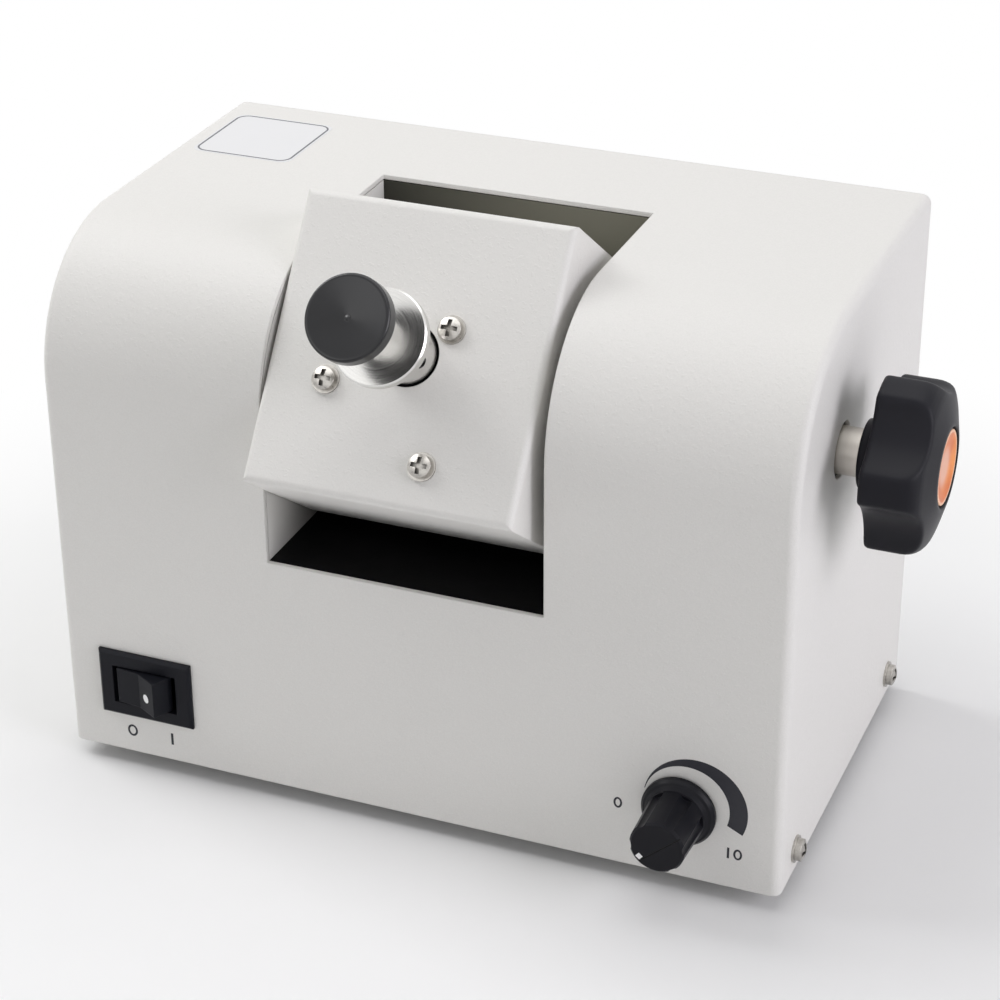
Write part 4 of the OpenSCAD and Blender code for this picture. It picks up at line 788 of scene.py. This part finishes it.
# The turned blank's corners from the bore, over the boss, the back, the rim and the domed front, into the
# recess for its cap: distance from the spacer's end, radius, and how far the rounding starts from the corner.
BLANK = [(0.6, 6.1, 0), (-0.3, 6.1, 0.1), (-0.3, 8.7, 0.4), (3.4, 8.9, 2.6), (3.5, 22.3, 1.5),
         (16.9, 22.3, 4.6), (20.05, 10.9, 0.5), (20.05, 9.9, 0.25), (19.0, 9.9, 0.15), (19.0, 9.45, 0.1),
         (18.2, 9.35, 0)]

# The dished cap in its recess, in the same way, from the middle of its back over its rim to its middle.
DISHED_CAP = [(17.7, 0, 0), (17.7, 9.3, 0.2), (19.9, 9.3, 0.35), (19.85, 8.5, 0.35), (19.3, 6.4, 1.0),
              (19.1, 4.0, 1.0), (19.1, 0, 0)]


def rounded_profile(corners, spacing):
    """A polyline whose corners are quadratic curves that start and end the corner's own cut away from it,
    filled up with points no further apart than the spacing."""
    points = [np.array(corners[0][:2])[None]]
    share = np.linspace(0, 1, 8)[:, None]
    for before, (x, radius, cut), after in zip(corners, corners[1:-1], corners[2:]):
        corner = np.array([x, radius])
        start, end = (corner + cut * (other - corner) / np.linalg.norm(other - corner)
                      for other in (np.array(before[:2]), np.array(after[:2])))
        points.append((1 - share) ** 2 * start + 2 * share * (1 - share) * corner + share ** 2 * end)
    points = np.concatenate(points + [np.array(corners[-1][:2])[None]])
    run = np.concatenate([[0], np.cumsum(np.linalg.norm(np.diff(points, axis=0), axis=1))])
    places = np.union1d(run, np.arange(0, run[-1], spacing))
    return np.interp(places, run, points[:, 0]), np.interp(places, run, points[:, 1])


def smooth_least(first, second, width):
    """The lesser of two lengths, blended by a polynomial where they differ by less than the width."""
    share = np.clip(0.5 + 0.5 * (second - first) / width, 0, 1)
    return second * (1 - share) + first * share - width * share * (1 - share)


def hollow_reach(angle):
    """How far from the axis the hollows lie at each angle. Each is a circle that meets the rim beside a lobe
    on either side; past its edge, behind the lobe, the distance grows steeply."""
    half = math.pi / LOBES
    chord = KNOB_RADIUS * math.sin(half - LOBE_HALF)
    sag = KNOB_RADIUS * math.cos(half - LOBE_HALF) - HOLLOW_FLOOR
    radius = (chord ** 2 + sag ** 2) / (2 * sag)
    centre = HOLLOW_FLOOR + radius
    off = np.abs((angle - LOBE_TURN) % (2 * half) - half)
    edge = math.asin(radius / centre)
    within = np.minimum(off, edge)
    near = centre * np.cos(within) - np.sqrt(np.maximum(radius ** 2 - (centre * np.sin(within)) ** 2, 0))
    return near + np.maximum(off - edge, 0) * centre * HOLLOW_END_SLOPE


def turned(name, along, radius, angle, finish):
    """A surface about the clamp's axis: each angle's cosine and sine times the radius, at each distance along
    the axis, in millimetres from the spacer's end."""
    x = np.broadcast_to(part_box("clamp_knob")[0][0] + along * MM, radius.shape)
    y, z = clamp_point[1] - radius * np.cos(angle), clamp_point[2] + radius * np.sin(angle)
    return surface(name, np.stack([x, y, z], axis=-1), "clamp", finish, around=False)


def clamp_knob():
    """The moulded clamp knob with its soft edges. Its radius is the lesser of the turned blank's and the
    hollows', blended. Behind the rim the blank is squeezed to the blended rim instead, so that its rounded
    back edge follows the hollows."""
    along, out = rounded_profile(BLANK, 0.28)
    angle = np.linspace(0, 2 * math.pi, 300, endpoint=False)[:, None]
    hollow = hollow_reach(angle)
    rim = smooth_least(KNOB_RADIUS, hollow, KNOB_BLEND)
    squeeze = (rim - BACK_ROOT) / (KNOB_RADIUS - BACK_ROOT)
    squeezed = np.where(out > BACK_ROOT, BACK_ROOT + (out - BACK_ROOT) * squeeze, out)
    radius = np.where(along < BACK_REACH, squeezed, smooth_least(out, hollow, KNOB_BLEND)) * MM
    knob = turned("clamp_knob_moulding", along, radius, angle, "clamp_black")
    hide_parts("clamp_knob")


def clamp_cap():
    """The knob's orange cap, a profile turned about the clamp's axis: a thin raised rim and a dish in it."""
    along, out = rounded_profile(DISHED_CAP, 0.8)
    angle = np.linspace(0, 2 * math.pi, 96, endpoint=False)[:, None]
    cap = turned("clamp_dished_cap", along, out * MM + 0 * angle, angle, "badge_orange")
    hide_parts("clamp_badge")


# ---------------------------------------------------------------- the floor

# Half the floor's width, and how far from the middle it starts and ends its fade to white, in metres.
FLOOR_HALF = 3
FADE_START, FADE_END = 0.12, 0.29


def make_floor():
    """A flat pale floor. It fades to the white behind it away from the object."""
    mesh = bpy.data.meshes.new("floor")
    corners = [(x * FLOOR_HALF, y * FLOOR_HALF, 0) for x, y in ((-1, -1), (1, -1), (1, 1), (-1, 1))]
    mesh.from_pydata(corners, [], [(0, 1, 2, 3)])
    floor = bpy.data.objects.new("floor", mesh)
    bpy.context.scene.collection.objects.link(floor)
    floor.data.materials.append(floor_finish().material)


def floor_finish():
    """White paper under the object: it shows the shadow near the object, and is plain white to the camera
    further away."""
    paper = Finish("floor", 0.9, Specular_IOR_Level=0.1)
    paper.set("Base Color", paper.mix((0.90, 0.90, 0.90), (0.915, 0.915, 0.915), paper.noise(40, 3)))
    x, y, _ = paper.parts()
    away = (x * x + y * y) ** 0.5
    seen = paper.node("LightPath", out="Is Camera Ray")
    white = paper.node("Emission", None, {"Color": (1, 1, 1, 1), "Strength": 1.0})
    share = seen * away.step(FADE_START, FADE_END)
    base = Value(paper, paper.shader.outputs[0])
    both = paper.node("MixShader", None, {0: share, 1: base, 2: white})
    output = paper.tree.nodes["Material Output"]
    paper.tree.links.new(both.socket, output.inputs["Surface"])
    return paper


# ---------------------------------------------------------------- light

# Each lamp: its place from the object's middle in metres, its width and height in metres, its power in watts
# and its tint.
LAMPS = {
    "overhead": ((0.0, 0.1, 1.3), (1.4, 1.4), 7.6, (1, 1, 1)),
    "left_top": ((-1.0, 0.0, 1.0), (0.8, 0.8), 9.0, (1, 1, 1)),
    "right": ((1.3, -0.2, 0.5), (0.9, 0.9), 8.8, (0.985, 0.965, 1.03)),
    "front_left": ((-0.9, -1.2, 0.7), (0.8, 0.8), 1.8, (1, 1, 1)),
    "front": ((0.3, -1.4, 0.5), (0.8, 0.8), 0.7, (1, 1, 1)),
}
SKY = 0.18


def make_lights():
    """Soft boxes turned to the object, and a dim even sky that the camera and gloss see as white."""
    middle = (cad_low + cad_high) / 2
    for name, (place, size, power, tint) in LAMPS.items():
        data = bpy.data.lights.new(name, "AREA")
        data.shape, data.size, data.size_y, data.energy, data.color = "RECTANGLE", *size, power, tint
        lamp = bpy.data.objects.new(name, data)
        lamp.location = middle + Vector(place)
        lamp.rotation_euler = (-Vector(place)).to_track_quat("-Z", "Y").to_euler()
        bpy.context.scene.collection.objects.link(lamp)
    world = bpy.data.worlds.new("studio")
    world.use_nodes = True
    bpy.context.scene.world = world
    tree = world.node_tree
    background = tree.nodes["Background"]
    path = tree.nodes.new("ShaderNodeLightPath")
    white = tree.nodes.new("ShaderNodeMath")
    white.operation = "MAXIMUM"
    seen = tree.nodes.new("ShaderNodeMath")
    seen.operation = "MAXIMUM"
    tree.links.new(path.outputs["Is Camera Ray"], seen.inputs[0])
    tree.links.new(path.outputs["Is Glossy Ray"], seen.inputs[1])
    tree.links.new(seen.outputs[0], white.inputs[0])
    tree.links.new(path.outputs["Is Transmission Ray"], white.inputs[1])
    strength = tree.nodes.new("ShaderNodeMapRange")
    strength.inputs["To Min"].default_value = SKY
    strength.inputs["To Max"].default_value = 1.0
    tree.links.new(white.outputs[0], strength.inputs["Value"])
    tree.links.new(strength.outputs[0], background.inputs["Strength"])
    background.inputs["Color"].default_value = (1, 1, 1, 1)
    bpy.context.scene.view_settings.view_transform = "Standard"


# ---------------------------------------------------------------- the scene

make_camera()
paint_nodes()
prints()
clamp_knob()
clamp_cap()
make_floor()
make_lights()
